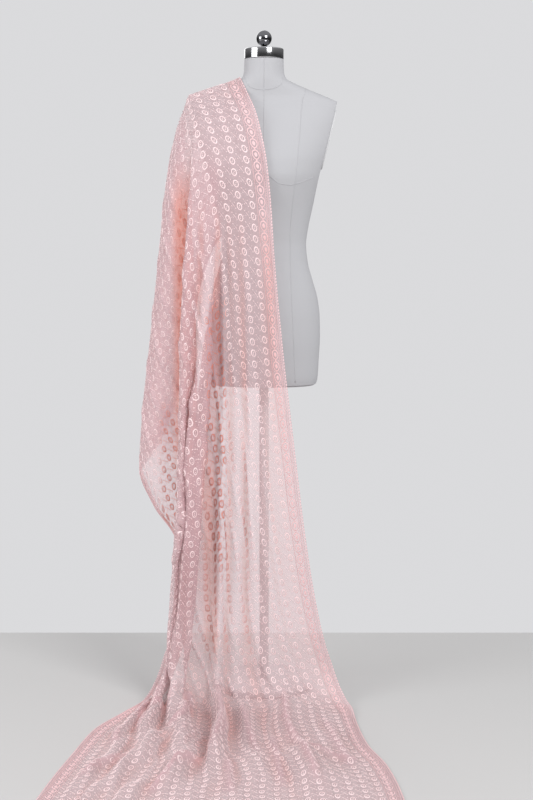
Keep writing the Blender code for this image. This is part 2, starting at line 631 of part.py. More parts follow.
def make_stole():
    field = material("field_cloth", (0.86, 0.55, 0.50), 0.7)
    edging = material("edging_cloth", (0.90, 0.66, 0.62), 0.7)
    inner = SHEET_WIDTH - BORDER
    levels = fall_levels()
    train = [train_section(step, SAMPLES) for step in TRAIN_ROWS]
    rows = [fall_section(level, SAMPLES) for level in levels] + train[1:]
    widths = [np.concatenate([edging_widths(0.0), field_widths(row[1])[1:],
                              wing_widths(row[1])[1:]]) for row in rows]
    front = np.array([at_width(*row, wanted) for row, wanted in zip(rows, widths)])
    turn = levels.index(WING_LEVEL)
    outer = np.concatenate([outer_edging((WING_LEVEL,) + LOWER_LEVELS),
                            [at_width(*row, edging_widths(inner)) for row in train[1:]]])
    corners = np.concatenate([front[0], front[1:turn + 1, -1], outer[0, 1:]])
    corner_widths = np.concatenate([widths[0], [row[-1] for row in widths[1:turn + 1]],
                                    edging_widths(inner)[1:]])
    neck_threads = back_threads(corner_widths, 0.0, BORDER)
    shoulder_tip = widths[0][-1]
    swag_threads = np.concatenate([back_threads(corner_widths, BORDER, shoulder_tip),
                                   back_threads(corner_widths, shoulder_tip, inner)[1:]])
    outer_threads = back_threads(corner_widths, inner, SHEET_WIDTH)
    threads = np.concatenate([neck_threads, swag_threads[1:], outer_threads[1:]])
    back = back_grid(threads, at_width(corners, corner_widths, threads))

    front_normals, outer_normals = normals_of(front), normals_of(outer)
    back_normals = normals_of(back)       # these point inwards, the front's outwards
    front_normals[turn:, -1] = unit(front_normals[turn:, -1] + outer_normals[:, 0])
    shared = np.concatenate([front_normals[0], front_normals[1:turn + 1, -1],
                             outer_normals[0, 1:]])
    shared = unit(shared - at_width(back_normals[0], threads, corner_widths))
    columns = front.shape[1]
    front_normals[0] = shared[:columns]
    front_normals[1:turn + 1, -1] = shared[columns:columns + turn]
    outer_normals[0, 1:] = shared[columns + turn:]
    outer_normals[:, 0] = front_normals[turn:, -1]
    back_normals[0] = -unit(at_width(shared, corner_widths, threads))

    foot = len(levels) - 1
    floor = foot - turn
    seam = len(BORDER_THREADS) - 1
    wing = seam + len(field_widths(rows[0][1])) - 1
    first, second = len(neck_threads) - 1, len(neck_threads) + len(swag_threads) - 2
    fall, run = slice(0, foot + 1), slice(foot, None)
    for name, points, normals, part_of, finish, seams in (
            ("neck_border_fall", front, front_normals, (fall, slice(0, seam + 1)), edging,
             ("top", "foot", "outer_side")),
            ("front_fall", front, front_normals, (fall, slice(seam, wing + 1)), field,
             ("top", "foot", "neck_side", "outer_side")),
            ("side_wing", front, front_normals, (fall, slice(wing, None)), field,
             ("top", "foot", "neck_side", "outer_side")),
            ("outer_border_fall", outer, outer_normals, (slice(0, floor + 1), slice(None)),
             edging, ("top", "foot", "neck_side")),
            ("neck_border_train", front, front_normals, (run, slice(0, seam + 1)), edging,
             ("top", "outer_side")),
            ("floor_train", front, front_normals, (run, slice(seam, None)), field,
             ("top", "neck_side", "outer_side")),
            ("outer_border_train", outer, outer_normals, (slice(floor, None), slice(None)),
             edging, ("top", "neck_side")),
            ("neck_border_back", back, back_normals, (slice(None), slice(0, first + 1)),
             edging, ("top", "outer_side")),
            ("back_swag", back, back_normals, (slice(None), slice(first, second + 1)), field,
             ("top", "neck_side", "outer_side")),
            ("outer_border_back", back, back_normals, (slice(None), slice(second, None)),
             edging, ("top", "neck_side"))):
        cloth_piece(name, points[part_of], normals[part_of], finish, seams)


# ---- The form --------------------------------------------------------------------------------
def form_ring(height):
    """One ring of the form, a rounded oval with its own front and back depth."""
    half, front, back = form_section(height)
    ring = []
    for side in range(FORM_SIDES):
        angle = 2 * math.pi * side / FORM_SIDES
        across, along = math.cos(angle), math.sin(angle)
        x = half * math.copysign(abs(across) ** (2 / FORM_POWER), across)
        depth = back if along > 0 else front
        ring.append((x, depth * math.copysign(abs(along) ** (2 / FORM_POWER), along), height))
    return ring


def make_form_body():
    mesh = bpy.data.meshes.new("form_body")
    body = bmesh.new()
    rings = [[body.verts.new(point) for point in form_ring(row[0])] for row in FORM_SECTIONS]
    for face in grid_faces(len(rings), FORM_SIDES, True):
        body.faces.new([rings[corner // FORM_SIDES][corner % FORM_SIDES] for corner in face])
    body.faces.new(rings[0][::-1])
    body.faces.new(rings[-1])
    body.to_mesh(mesh)
    body.free()
    mesh.shade_smooth()
    canvas = material("canvas", (0.78, 0.79, 0.81), 0.85)
    form = add_object("form_body", mesh, canvas)
    for side, name in ((1, "right"), (-1, "left")):
        cutter = make_arm_cutter(side, name)
        cut = form.modifiers.new("armhole_" + name, "BOOLEAN")
        cut.operation = "DIFFERENCE"
        cut.solver = "EXACT"
        cut.object = cutter


def arm_plane(side):
    """Middle of the arm plate's outer face, its height direction and its outward normal."""
    top, bottom = np.array(ARM_PLATE_TOP), np.array(ARM_PLATE_BOTTOM)
    middle = (top + bottom) / 2
    up = (top - bottom) / np.linalg.norm(top - bottom)
    return (side * middle[0], 0.0, middle[1]), math.atan2(side * up[0], up[1])


def make_arm_cutter(side, name):
    (x, y, z), lean = arm_plane(side)
    inset = ARM_PLATE_THICKNESS + PIECE_GAP
    bpy.ops.mesh.primitive_cube_add(size=1.0)
    cutter = bpy.context.object
    cutter.name = "armhole_cutter_" + name
    cutter.scale = ARM_CUT
    bpy.ops.object.transform_apply(location=False, rotation=False, scale=True)
    out = side * (ARM_CUT[0] / 2 - inset)
    cutter.location = (x + out * math.cos(lean), y, z - out * math.sin(lean))
    cutter.rotation_euler = (0.0, lean, 0.0)
    move_to(cutter, cutters)
    cutter.hide_render = True
    cutter.display_type = "WIRE"
    return cutter


def make_arm_plate(side, name):
    (x, y, z), lean = arm_plane(side)
    bpy.ops.mesh.primitive_cylinder_add(vertices=28, radius=1.0, depth=ARM_PLATE_THICKNESS,
                                        rotation=(0.0, math.pi / 2, 0.0))
    plate = bpy.context.object
    bpy.ops.object.transform_apply(location=False, rotation=True, scale=False)
    plate.scale = (1.0, ARM_PLATE_HALF_WIDTH, ARM_PLATE_HALF_HEIGHT)
    bpy.ops.object.transform_apply(location=False, rotation=False, scale=True)
    plate.name = "arm_plate_" + name
    inwards = -side * ARM_PLATE_THICKNESS / 2
    plate.location = (x + inwards * math.cos(lean), y, z - inwards * math.sin(lean))
    plate.rotation_euler = (0.0, lean, 0.0)
    edge = plate.modifiers.new("edge", "BEVEL")
    edge.width = 0.0012
    edge.segments = 1
    plate.data.materials.append(material("plate", (0.80, 0.80, 0.82), 0.6))
    move_to(plate, parts)


def move_to(item, collection):
    for current in list(item.users_collection):
        current.objects.unlink(item)
    collection.objects.link(item)


def turned_piece(name, profile, finish, location, steps=32):
    """A turned piece: a profile of radius and height, top to bottom, spun round Z."""
    mesh = bpy.data.meshes.new(name)
    mesh.from_pydata([(radius, 0.0, height) for radius, height in profile],
                     [(i, i + 1) for i in range(len(profile) - 1)], [])
    piece = add_object(name, mesh, finish)
    piece.location = location
    spin = piece.modifiers.new("spin", "SCREW")
    spin.steps = steps
    spin.render_steps = steps
    spin.use_merge_vertices = True
    spin.merge_threshold = 0.0001
    spin.use_smooth_shade = True
    return piece


def make_neck_and_stand():
    neck_top = FORM_SECTIONS[-1][0] + PIECE_GAP
    bright = material("bright_metal", (0.80, 0.80, 0.82), 0.15, 1.0)
    dark = material("dark_metal", (0.30, 0.30, 0.32), 0.2, 1.0)
    pale = material("pale_metal", (0.82, 0.82, 0.83), 0.5)
    cap = CAP_HEIGHT
    turned_piece("neck_cap", ((0.0, cap), (CAP_RADIUS - 0.004, cap - 0.0005),
                              (CAP_RADIUS, cap - 0.0035), (CAP_RADIUS, 0.002),
                              (CAP_RADIUS - 0.002, 0.0), (0.0, 0.0)),
                 bright, (0.0, 0.0, neck_top))
    (stem_radius, stem), ball = BALL_STEM, BALL_RADIUS
    foot = [(stem_radius, stem * 0.4), (stem_radius, 0.0), (0.0, 0.0)]
    lowest = -math.acos(stem_radius * 0.7 / ball)
    dome = [(ball * math.cos(a), stem + ball + ball * math.sin(a))
            for a in np.linspace(math.pi / 2, lowest, 11)]
    dome[0] = (0.0, stem + 2 * ball)
    turned_piece("ball_finial", dome + foot, dark, (0.0, 0.0, neck_top + cap + PIECE_GAP), 24)
    low = BASE_THICKNESS
    turned_piece("stand_base", ((0.0, low), (BASE_RADIUS - 0.010, low - 0.002),
                                (BASE_RADIUS - 0.002, low - 0.007), (BASE_RADIUS, low - 0.011),
                                (BASE_RADIUS, 0.002), (BASE_RADIUS - 0.002, 0.0), (0.0, 0.0)),
                 pale, (0.0, 0.0, 0.0), 40)
    foot_z = low + PIECE_GAP
    pole_length = FORM_SECTIONS[0][0] - PIECE_GAP - foot_z
    bpy.ops.mesh.primitive_cylinder_add(vertices=24, radius=POLE_RADIUS, depth=pole_length,
                                        location=(0.0, 0.0, foot_z + pole_length / 2))
    pole = bpy.context.object
    pole.name = "stand_pole"
    pole.data.shade_smooth()
    pole.data.set_sharp_from_angle(angle=math.radians(40))
    pole.data.materials.append(pale)
    move_to(pole, parts)


def main():
    clear_scene()
    make_form_body()
    for side, name in ((1, "right"), (-1, "left")):
        make_arm_plate(side, name)
    make_neck_and_stand()
    make_stole()


main()
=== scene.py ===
# %% [markdown]
# # A sheer embroidered stole on a dress form
# The stole is one length of net, embroidered all over and edged down both sides. It lies over the
# left-hand shoulder of the form, falls in folds to the floor and runs on as a train. What is too
# wide for the shoulder hangs off its end as a wing, and rises behind it to pleats at the back.
# This lesson opens the object's frame first, because every piece below is fitted to its solids.

# %% Open the frame
import math

import bpy
import numpy as np
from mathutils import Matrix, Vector


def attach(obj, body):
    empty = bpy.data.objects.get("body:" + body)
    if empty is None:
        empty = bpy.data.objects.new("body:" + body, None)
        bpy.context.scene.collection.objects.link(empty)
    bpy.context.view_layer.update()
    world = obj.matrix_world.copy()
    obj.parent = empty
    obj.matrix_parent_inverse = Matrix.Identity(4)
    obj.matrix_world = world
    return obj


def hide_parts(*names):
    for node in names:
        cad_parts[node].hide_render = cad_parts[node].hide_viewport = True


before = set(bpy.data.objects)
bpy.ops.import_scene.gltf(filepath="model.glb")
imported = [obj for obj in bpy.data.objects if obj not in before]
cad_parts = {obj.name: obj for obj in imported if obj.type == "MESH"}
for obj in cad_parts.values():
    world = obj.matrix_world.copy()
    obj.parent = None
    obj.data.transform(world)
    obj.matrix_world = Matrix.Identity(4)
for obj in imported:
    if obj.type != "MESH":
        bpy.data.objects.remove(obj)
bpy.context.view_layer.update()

# %% [markdown]
# Every piece starts in the same way: nothing else is selected, a primitive is added, it gets its
# name, and its place, turn and stretch go into the mesh. Every finish starts as one plain colour,
# and its nodes are added one by one. Three small functions do this for the whole scene.

# %% What every piece and finish needs
def only(piece=None):
    """Object mode, with this piece selected and nothing else."""
    if bpy.context.object and bpy.context.object.mode != "OBJECT":
        bpy.ops.object.mode_set(mode="OBJECT")
    bpy.ops.object.select_all(action="DESELECT")
    if piece:
        piece.select_set(True)
        bpy.context.view_layer.objects.active = piece


def added(add, name, stretch=(1.0, 1.0, 1.0), **settings):
    """A primitive made by the operator add, under its own name and at the origin."""
    only()
    add(**settings)
    piece = bpy.context.object
    piece.name = name
    piece.scale = stretch
    bpy.ops.object.transform_apply(location=True, rotation=True, scale=True)
    return piece


def plain_material(name, colour, roughness, metallic=0.0):
    """A material of one colour, for a finish without a pattern."""
    finish = bpy.data.materials.new(name)
    finish.use_nodes = True
    shader = finish.node_tree.nodes["Principled BSDF"]
    shader.inputs["Base Color"].default_value = (*colour, 1.0)
    shader.inputs["Roughness"].default_value = roughness
    shader.inputs["Metallic"].default_value = metallic
    return finish


def add_node(tree, kind, inputs=None, **settings):
    """A node whose inputs are values, or outputs of other nodes to link from."""
    node = tree.nodes.new("ShaderNode" + kind)
    for key, value in settings.items():
        setattr(node, key, value)
    for socket, value in (inputs or {}).items():
        if isinstance(value, bpy.types.NodeSocket):
            tree.links.new(value, node.inputs[socket])
        else:
            node.inputs[socket].default_value = value
    return node.outputs


print("ready: only, added, plain_material, add_node")

# %% [markdown]
# ## The studio
# A textile shop shows sheer cloth against a pale ground, in light that is soft and comes from wide
# panels, so that the net looks clear and the folds still shade each other. One plane is the floor
# and ends a little way behind the form. A curved sweep would hide the form from behind. Polished
# metal mirrors the studio's dark walls and pale ceiling, and all else is lit evenly, so the world
# has one strength for mirrored rays, which grows with height, and one for all others.

# %% Floor
floor = added(bpy.ops.mesh.primitive_plane_add, "studio_floor", (9.0, 6.5, 1.0),
              size=1.0, location=(0.0, -2.75, -0.0015))
floor.data.materials.append(plain_material("pale_floor", (0.50, 0.495, 0.49), 0.85))
print("floor:", floor.name)

# %% Lights
# name, place, the point it shines at, size and power
PANELS = (
    ("key_panel", (1.9, -3.0, 3.1), (-0.1, 0.0, 1.1), 1.6, 105),
    ("fill_panel", (-3.2, -2.0, 1.9), (0.0, 0.0, 0.9), 2.2, 72),
    ("back_panel", (-1.2, 3.4, 2.8), (0.0, 0.0, 0.9), 2.2, 22),
)
for name, place, aim, size, power in PANELS:
    only()
    bpy.ops.object.light_add(type="AREA", location=place)
    panel = bpy.context.object
    panel.name = name
    panel.data.shape = "SQUARE"
    panel.data.size = size
    panel.data.energy = power
    panel.rotation_euler = (Vector(aim) - Vector(place)).to_track_quat("-Z", "Y").to_euler()

world = bpy.data.worlds.new("white_studio")
world.use_nodes = True
tree = world.node_tree
tree.nodes["Background"].inputs["Color"].default_value = (0.98, 0.98, 1.0, 1.0)
ray_direction = add_node(tree, "TexCoord")["Generated"]
ray_height = add_node(tree, "SeparateXYZ", {"Vector": ray_direction})["Z"]
mirrored = add_node(tree, "MapRange", {"Value": ray_height, "From Min": 0.05, "From Max": 0.70,
                                       "To Min": 0.05, "To Max": 0.60})["Result"]
is_mirrored = add_node(tree, "LightPath")["Is Glossy Ray"]
strength = add_node(tree, "Mix", {"Factor": is_mirrored, "A": 0.72, "B": mirrored})["Result"]
tree.links.new(strength, tree.nodes["Background"].inputs["Strength"])
bpy.context.scene.world = world
bpy.context.scene.view_settings.view_transform = "Standard"
bpy.context.scene.cycles.transparent_max_bounces = 40
print("lights:", [row[0] for row in PANELS], "and", world.name)

# %% Camera
CAMERA_PLACE = (0.0067, -3.75, 1.22)
CAMERA_TILT = 83.4        # degrees from straight down
LENS = 63
only()
bpy.ops.object.camera_add(location=CAMERA_PLACE, rotation=(math.radians(CAMERA_TILT), 0.0, 0.0))
camera = bpy.context.object
camera.data.lens = LENS
bpy.context.scene.camera = camera
print("camera:", CAMERA_PLACE, "lens", LENS)

# %% [markdown]
# ## How the cloth hangs
# A real stole is a flat rectangle, and everything else about its shape comes from where it is
# held. It could be simulated, but a simulation gives other folds each time. Here each fold line
# is listed in a table: where it runs at each height, and how far it stands proud. The same
# lines shape the solids, so the cloth and its solids cannot drift apart. Metres, front towards -Y.

# %% Sizes of the cloth
SHEET_WIDTH = 0.92
BORDER = 0.040            # width of the edging band along each long edge
WALL = 0.0012             # thickness of the cloth wall
SOFT_CORNER = 0.004       # rounding where the hanging cloth meets the form
FOLD_TOP = 1.47           # height where the folds of the front begin
WING_CORNER = 0.577       # height of the wing's lowest corner
FINE_CREASES = 0.10       # share of the width that lies in creases too fine for these walls
FOOT_RADIUS = 0.10        # radius of the bend where the fall meets the floor
FORM_CLEARANCE = 0.0020   # from the form to the middle of the cloth wall
print("width of the stole:", SHEET_WIDTH, "m, edging", BORDER, "m")

# %% Sections of the form
FORM_POWER = 2.35         # 2 is an ellipse, more is squarer
# height, half width, depth of the front and of the back, in millimetres
FORM_SECTIONS = np.array((
    (829, 134, 89, 94),
    (833, 140, 95, 101),
    (842, 143, 98, 104),
    (900, 147, 103, 112),
    (960, 150, 107, 118),
    (1010, 149, 107, 116),
    (1060, 143, 103, 106),
    (1110, 129, 96, 90),
    (1160, 116, 89, 77),
    (1205, 112, 86, 73),
    (1250, 118, 90, 76),
    (1300, 129, 100, 83),
    (1345, 141, 114, 90),
    (1385, 154, 124, 95),
    (1420, 166, 121, 98),
    (1460, 179, 108, 99),
    (1500, 190, 90, 96),
    (1535, 198, 74, 87),
    (1560, 199, 60, 75),
    (1577, 191, 48, 62),
    (1590, 160, 46, 56),
    (1607, 118, 48, 54),
    (1622, 82, 50, 53),
    (1634, 60, 51, 53),
    (1650, 53, 50, 52),
    (1684, 51.5, 50, 51.5),
)) / 1000
print("the form is", round(np.ptp(FORM_SECTIONS[:, 0]), 3), "m tall")

# %% Fold lines of the front
# Each row is one line down the cloth, from the neck edge to the wing's turned edge: its x in
# millimetres at HEIGHTS, from the ridge of the shoulder to the floor, and how far it stands proud of
# the fold's floor at RELIEF_HEIGHTS, in hundredths of one common depth that follows from the cloth's
# width.
HEIGHTS = (1.59, 1.50, 1.38, 1.15, 0.92, 0.74, 0.60, 0.50, 0.40, 0.26, 0.12, 0.00)
RELIEF_HEIGHTS = (1.15, 0.50, 0.00)
FALL_LINES = {
    "neck_edge": ((-63, -16, 12, 29, 51, 72, 89, 101, 115, 138, 172, 230), (60, 16, 10)),
    "border_seam": ((-101, -52, -16, 10, 21, 38, 52, 63, 77, 100, 134, 190), (0, 8, 0)),
    "small_crest": ((-108, -62, -30, -12, -2, 6, 14, 21, 30, 48, 76, 128), (12, 14, 14)),
    "middle_crest": ((-114, -72, -43, -37, -36, -35, -33, -30, -27, -19, 2, 62), (36, 42, 50)),
    "middle_valley": ((-120, -82, -58, -57, -52, -49, -48, -47, -47, -47, -42, -6), (4, 4, 5)),
    "low_crest": ((-126, -92, -74, -74, -70, -69, -68, -68, -69, -72, -76, -62), (20, 22, 26)),
    "shade_valley": ((-131, -101, -88, -90, -87, -88, -90, -92, -94, -97, -102, -96), (12, 12, 10)),
    "long_crest": ((-136, -108, -99, -103, -101, -103, -106, -109, -111, -115, -121, -122), (50, 56, 62)),
    "dark_valley": ((-141, -116, -110, -116, -118, -124, -130, -135, -138, -143, -151, -160), (5, 5, 0)),
    "roll_root": ((-146, -124, -118, -123, -162, -183, -196, -202, -207, -214, -216, -206), (18, 20, 10)),
    "roll_edge": ((-151, -133, -130, -131, -132, -143, -152, -160, -168, -180, -198, -214), (78, 80, 60)),
    "roll_crest": ((-157, -143, -144, -144, -160, -178, -190, -199, -207, -222, -238, -240), (100, 100, 95)),
    "side_valley": ((-163, -154, -158, -163, -178, -193, -203, -209, -216, -228, -243, -254), (30, 30, 20)),
    "side_crest": ((-169, -164, -172, -184, -198, -207, -213, -219, -226, -238, -252, -266), (85, 88, 75)),
    "side_edge": ((-175, -176, -188, -207, -220, -222, -226, -230, -236, -245, -259, -282), (45, 45, 50)),
    "wing_valley": ((-181, -185, -186, -178, -174, -172, -172, -174, -178, -190, -218, -290), (0, 0, 10)),
    "wing_inner": ((-188, -201, -216, -222, -224, -226, -228, -226, -220, -238, -252, -301), (10, 10, 40)),
    "wing_outer": ((-194, -217, -241, -261, -280, -296, -302, -272, -216, -203, -226, -314), (4, 4, 20)),
    "turned_edge": ((-200, -233, -258, -284, -310, -330, -338, -299, -238, -242, -262, -356), (0, 0, 0)),
}
LINES = tuple(FALL_LINES)
# How far back the lines of the wing hang, in millimetres, at HEIGHTS.
SET_BACK = {
    "side_edge": (0, 0, 2, 6, 8, 8, 8, 8, 6, 4, 0, 0),
    "wing_valley": (0, 8, 16, 24, 26, 28, 30, 30, 28, 24, 16, 0),
    "wing_inner": (0, 26, 36, 40, 42, 44, 46, 46, 44, 36, 24, 0),
    "wing_outer": (0, 56, 66, 66, 66, 68, 68, 64, 58, 46, 34, 0),
    "turned_edge": (0, 112, 138, 130, 124, 120, 116, 108, 98, 82, 58, 0),
}
# The plane that the folds stand on: how far in front of the stand's middle it hangs, at HEIGHTS.
FALL_FRONT = (0.0, 0.100, 0.134, 0.128, 0.126, 0.126, 0.126, 0.126, 0.126, 0.126, 0.126, 0.126)
print("fold lines:", len(LINES), "at", len(HEIGHTS), "heights")

# %% Ridge over the shoulder and the train on the floor
# The cloth's ridge over the shoulder: x and height. Its layers stand a little off the form.
RIDGE = ((-0.063, 1.640), (-0.087, 1.629), (-0.127, 1.617), (-0.161, 1.606), (-0.203, 1.592))
RIDGE_ROUND = 0.024       # radius of the cloth's bend over the ridge
# The same lines on the floor: x in millimetres and relief in hundredths, at TRAIN_STEPS from the
# foot of the fall.
TRAIN_STEPS = (0.00, 0.12, 0.25, 0.38, 0.50, 0.62)
HEM_SLANT = 0.25          # how much further the train runs at its outer edge
SETTLE = 0.0015           # how far the train sinks flat between its ridges
TRAIN_LINES = {
    "neck_edge": ((230, 238, 253, 287, 303, 311), (10, 0, 0, 0, 0, 0)),
    "border_seam": ((190, 198, 213, 247, 263, 271), (0, 10, 0, 5, 0, 0)),
    "small_crest": ((128, 140, 156, 184, 208, 220), (18, 12, 30, 10, 30, 25)),
    "middle_crest": ((62, 57, 72, 92, 114, 128), (62, 42, 20, 85, 70, 40)),
    "middle_valley": ((-6, 6, 22, 38, 56, 66), (5, 0, 10, 0, 0, 0)),
    "low_crest": ((-62, -46, -34, -22, -6, 6), (30, 50, 15, 45, 20, 50)),
    "shade_valley": ((-96, -82, -78, -72, -66, -56), (10, 5, 10, 0, 30, 0)),
    "long_crest": ((-122, -106, -112, -116, -118, -112), (70, 85, 95, 35, 10, 60)),
    "dark_valley": ((-160, -138, -140, -158, -176, -180), (0, 0, 0, 10, 45, 10)),
    "roll_root": ((-206, -172, -170, -196, -226, -236), (10, 20, 30, 90, 20, 0)),
    "roll_edge": ((-214, -198, -200, -232, -262, -276), (60, 80, 60, 20, 5, 40)),
    "roll_crest": ((-240, -230, -240, -272, -304, -320), (95, 60, 10, 5, 80, 10)),
    "side_valley": ((-254, -258, -274, -306, -338, -354), (20, 5, 75, 0, 15, 0)),
    "side_crest": ((-266, -284, -306, -336, -366, -384), (75, 80, 20, 50, 0, 45)),
    "side_edge": ((-282, -308, -336, -364, -392, -410), (50, 30, 0, 10, 55, 10)),
    "wing_valley": ((-290, -322, -352, -378, -402, -420), (10, 0, 35, 0, 10, 0)),
    "wing_inner": ((-301, -340, -374, -398, -420, -438), (40, 50, 10, 45, 0, 35)),
    "wing_outer": ((-314, -370, -404, -430, -450, -468), (20, 5, 0, 0, 10, 0)),
    "turned_edge": ((-356, -426, -456, -483, -502, -520), (0, 0, 0, 0, 0, 0)),
}
print("the train runs", TRAIN_STEPS[-1], "m along the floor")

# %% Pleats of the back
PLEATS = 8.76             # pleats held behind the shoulder; each edging starts on a slope
PLEAT_START = -0.13       # part of a pleat by which the first one starts past the neck edge
PLEAT_DEPTH = 0.034
PLEAT_REACH = 0.30        # threads shorter than this have shallower pleats
PLEAT_GROWTH = 1.3        # above 1, the pleats deepen late on the way to the hem
HEM_NECK_END = (-0.070, 1.585)       # x and height of the pleated end, on the neck side
HEM_OUTER_END = (-0.096, 1.245)      # and on the outer side
# Where the cloth heads as it leaves the front and as it comes in to the pleats, across its width:
# share of the width, heading on leaving, heading on coming in. A heading's length is the share of
# the way over which it is held.
BACK_HEADINGS = (
    (0.00, (-0.05, 0.36, 0.00), (0.00, 0.02, -0.40)),
    (0.12, (-0.03, 0.36, 0.02), (0.18, 0.04, -0.35)),
    (0.22, (0.20, 0.24, 0.12), (0.38, 0.04, -0.10)),
    (0.45, (0.24, 0.08, 0.22), (0.30, 0.04, 0.14)),
    (1.00, (0.23, 0.05, 0.27), (0.18, 0.02, 0.14)),
)
print("pleats behind the shoulder:", PLEATS)

# %% [markdown]
# A curve through listed numbers may swing past them, and a fold that swings too far cuts
# through the next one. This curve never rises or falls where its numbers don't.

# %% A curve that keeps to its numbers
def smooth_steps(positions, values):
    """Slopes of a curve through the values that rises and falls only where they do."""
    gaps = np.diff(positions)
    rates = np.diff(values, axis=0) / gaps[:, None]
    slopes = np.zeros_like(values)
    before, after = rates[:-1], rates[1:]
    same_way = before * after > 0
    weight_a = 2 * gaps[1:, None] + gaps[:-1, None]
    weight_b = gaps[1:, None] + 2 * gaps[:-1, None]
    safe_before = np.where(same_way, before, 1.0)
    safe_after = np.where(same_way, after, 1.0)
    mean = (weight_a + weight_b) / (weight_a / safe_before + weight_b / safe_after)
    slopes[1:-1] = np.where(same_way, mean, 0.0)
    slopes[0] = rates[0]
    slopes[-1] = rates[-1]
    return slopes


def curve_through(positions, values, where):
    """Values of the smooth curve at the places in where; values has one column per quantity."""
    positions = np.asarray(positions, float)
    values = np.asarray(values, float)
    single = values.ndim == 1
    if single:
        values = values[:, None]
    slopes = smooth_steps(positions, values)
    where = np.clip(np.asarray(where, float), positions[0], positions[-1])
    left = np.clip(np.searchsorted(positions, where, side="right") - 1, 0, len(positions) - 2)
    gap = (positions[left + 1] - positions[left])[..., None]
    part = (where - positions[left])[..., None] / gap
    start, end = values[left], values[left + 1]
    result = (start * (1 + 2 * part) * (1 - part) ** 2 + slopes[left] * gap * part * (1 - part) ** 2
              + end * part ** 2 * (3 - 2 * part) + slopes[left + 1] * gap * part ** 2 * (part - 1))
    return result[..., 0] if single else result

print("halfway from 1 to 3:", float(curve_through((0, 1, 2), (1, 3, 3), 0.5)))

# %% The form's surface
def form_section(height, grow=0.0):
    """Half width, front depth and back depth at a height, grown outwards by grow."""
    sizes = curve_through(FORM_SECTIONS[:, 0], FORM_SECTIONS[:, 1:], np.asarray(height, float) - grow)
    return sizes[..., 0] + grow, sizes[..., 1] + grow, sizes[..., 2] + grow


def form_depth(x, height, grow=0.0):
    """How far the form's front and back reach at x, 0 beside it."""
    half, front, back = form_section(height, grow)
    inside = np.clip(1.0 - (np.abs(x) / half) ** FORM_POWER, 0.0, 1.0)
    share = inside ** (1.0 / FORM_POWER)
    return front * share, back * share

print("front of the chest at 1.38:", round(float(form_depth(0.05, 1.38)[0]), 4))

# %% Reading the tables between their heights
FOLD_HEIGHTS = np.array(HEIGHTS)[::-1]
DEPTH_LIMIT = 0.16        # no fold is deeper than this
DEPTH_HALVINGS = 22
DEPTH_SAMPLES = 6         # points from line to line when a section's width is measured

def by_height(values, height):
    """A value given at HEIGHTS, read at another height."""
    return curve_through(FOLD_HEIGHTS, np.array(values, float)[::-1], height)


def blend_in(value, start, end):
    """0 before start, 1 after end, smooth between them."""
    part = np.clip((value - start) / (end - start), 0.0, 1.0)
    return part * part * (3 - 2 * part)


def soft_max(first, second, softness):
    """The larger of two numbers, with the corner between them rounded."""
    gap = first - second
    return 0.5 * (first + second + np.sqrt(gap * gap + softness * softness))


def over_form(reach, x, height, face):
    """How far the cloth reaches out where it lies on the form's front (face 0) or back (1)."""
    half, _, _ = form_section(height, FORM_CLEARANCE)
    surface = form_depth(x, height, FORM_CLEARANCE)[face]
    surface = np.where(np.abs(x) < half, surface, -1.0)
    return np.maximum(soft_max(reach, surface, SOFT_CORNER), surface)


def section_points(x, stand, samples):
    """A section's points through its fold lines: x across, stand out towards the front."""
    places = np.arange(len(x), dtype=float)
    fine = np.linspace(0, len(x) - 1, (len(x) - 1) * samples + 1)
    return curve_through(places, np.stack([x, stand], axis=1), fine)


def length_along(points):
    """Running length along a row of points."""
    steps = np.linalg.norm(np.diff(points, axis=0), axis=1)
    return np.concatenate([[0.0], np.cumsum(steps)])


def fold_depth(x, back, relief, cloth_width):
    """The common fold depth that takes up the cloth's width across one section."""
    taken = cloth_width * (1 - FINE_CREASES)
    low, high = 0.0, DEPTH_LIMIT
    for _ in range(DEPTH_HALVINGS):
        middle = 0.5 * (low + high)
        section = section_points(x, relief * middle - back, DEPTH_SAMPLES)
        if length_along(section)[-1] < taken:
            low = middle
        else:
            high = middle
    return low


def lines_at(level):
    """X, set back and relief of each fold line at one level of the fall."""
    flat = (0,) * len(HEIGHTS)
    x = [by_height(places, level) for places, _ in FALL_LINES.values()]
    back = [by_height(SET_BACK.get(name, flat), level) for name in LINES]
    relief = [curve_through(RELIEF_HEIGHTS[::-1], np.array(shares[::-1]) / 100, level)
              for _, shares in FALL_LINES.values()]
    return np.array(x) / 1000, np.array(back) / 1000, np.array(relief)


print("turned edge at 0.9:", round(float(lines_at(0.9)[0][-1]), 3), "m")

# %% [markdown]
# One level of the fall is a wavy line from the neck edge to the wing's turned edge. How deep the
# waves are isn't a choice: all the width of the cloth has to go into them, so their common depth
# is found by trying depths until the line is as long as the cloth is wide.

# %% One level of the fall
TURN_STEPS = ((0.0042, 0.0085), (0.0130, 0.0120))   # inwards and back from the turned edge
TURN_START = (0.2, 0.08)  # the turn's size at the ridge, and how far down it is full size
start_x, start_back, _ = lines_at(FOLD_TOP)
# width of cloth across the front where the folds begin
START_WIDTH = length_along(section_points(start_x, -start_back, DEPTH_SAMPLES))[-1]


def width_at(level):
    """How much of the cloth's width hangs in front at a level, up to the wing's turned edge."""
    share = min(max((FOLD_TOP - level) / (FOLD_TOP - WING_CORNER), 0.0), 1.0)
    return START_WIDTH + (SHEET_WIDTH - START_WIDTH) * share


def turn_size(level):
    """How large the turn at the front's edge is at a level, 1 below the shoulder."""
    least, reach = TURN_START
    return max(float(blend_in(HEIGHTS[0] - level, 0.0, reach)), least)


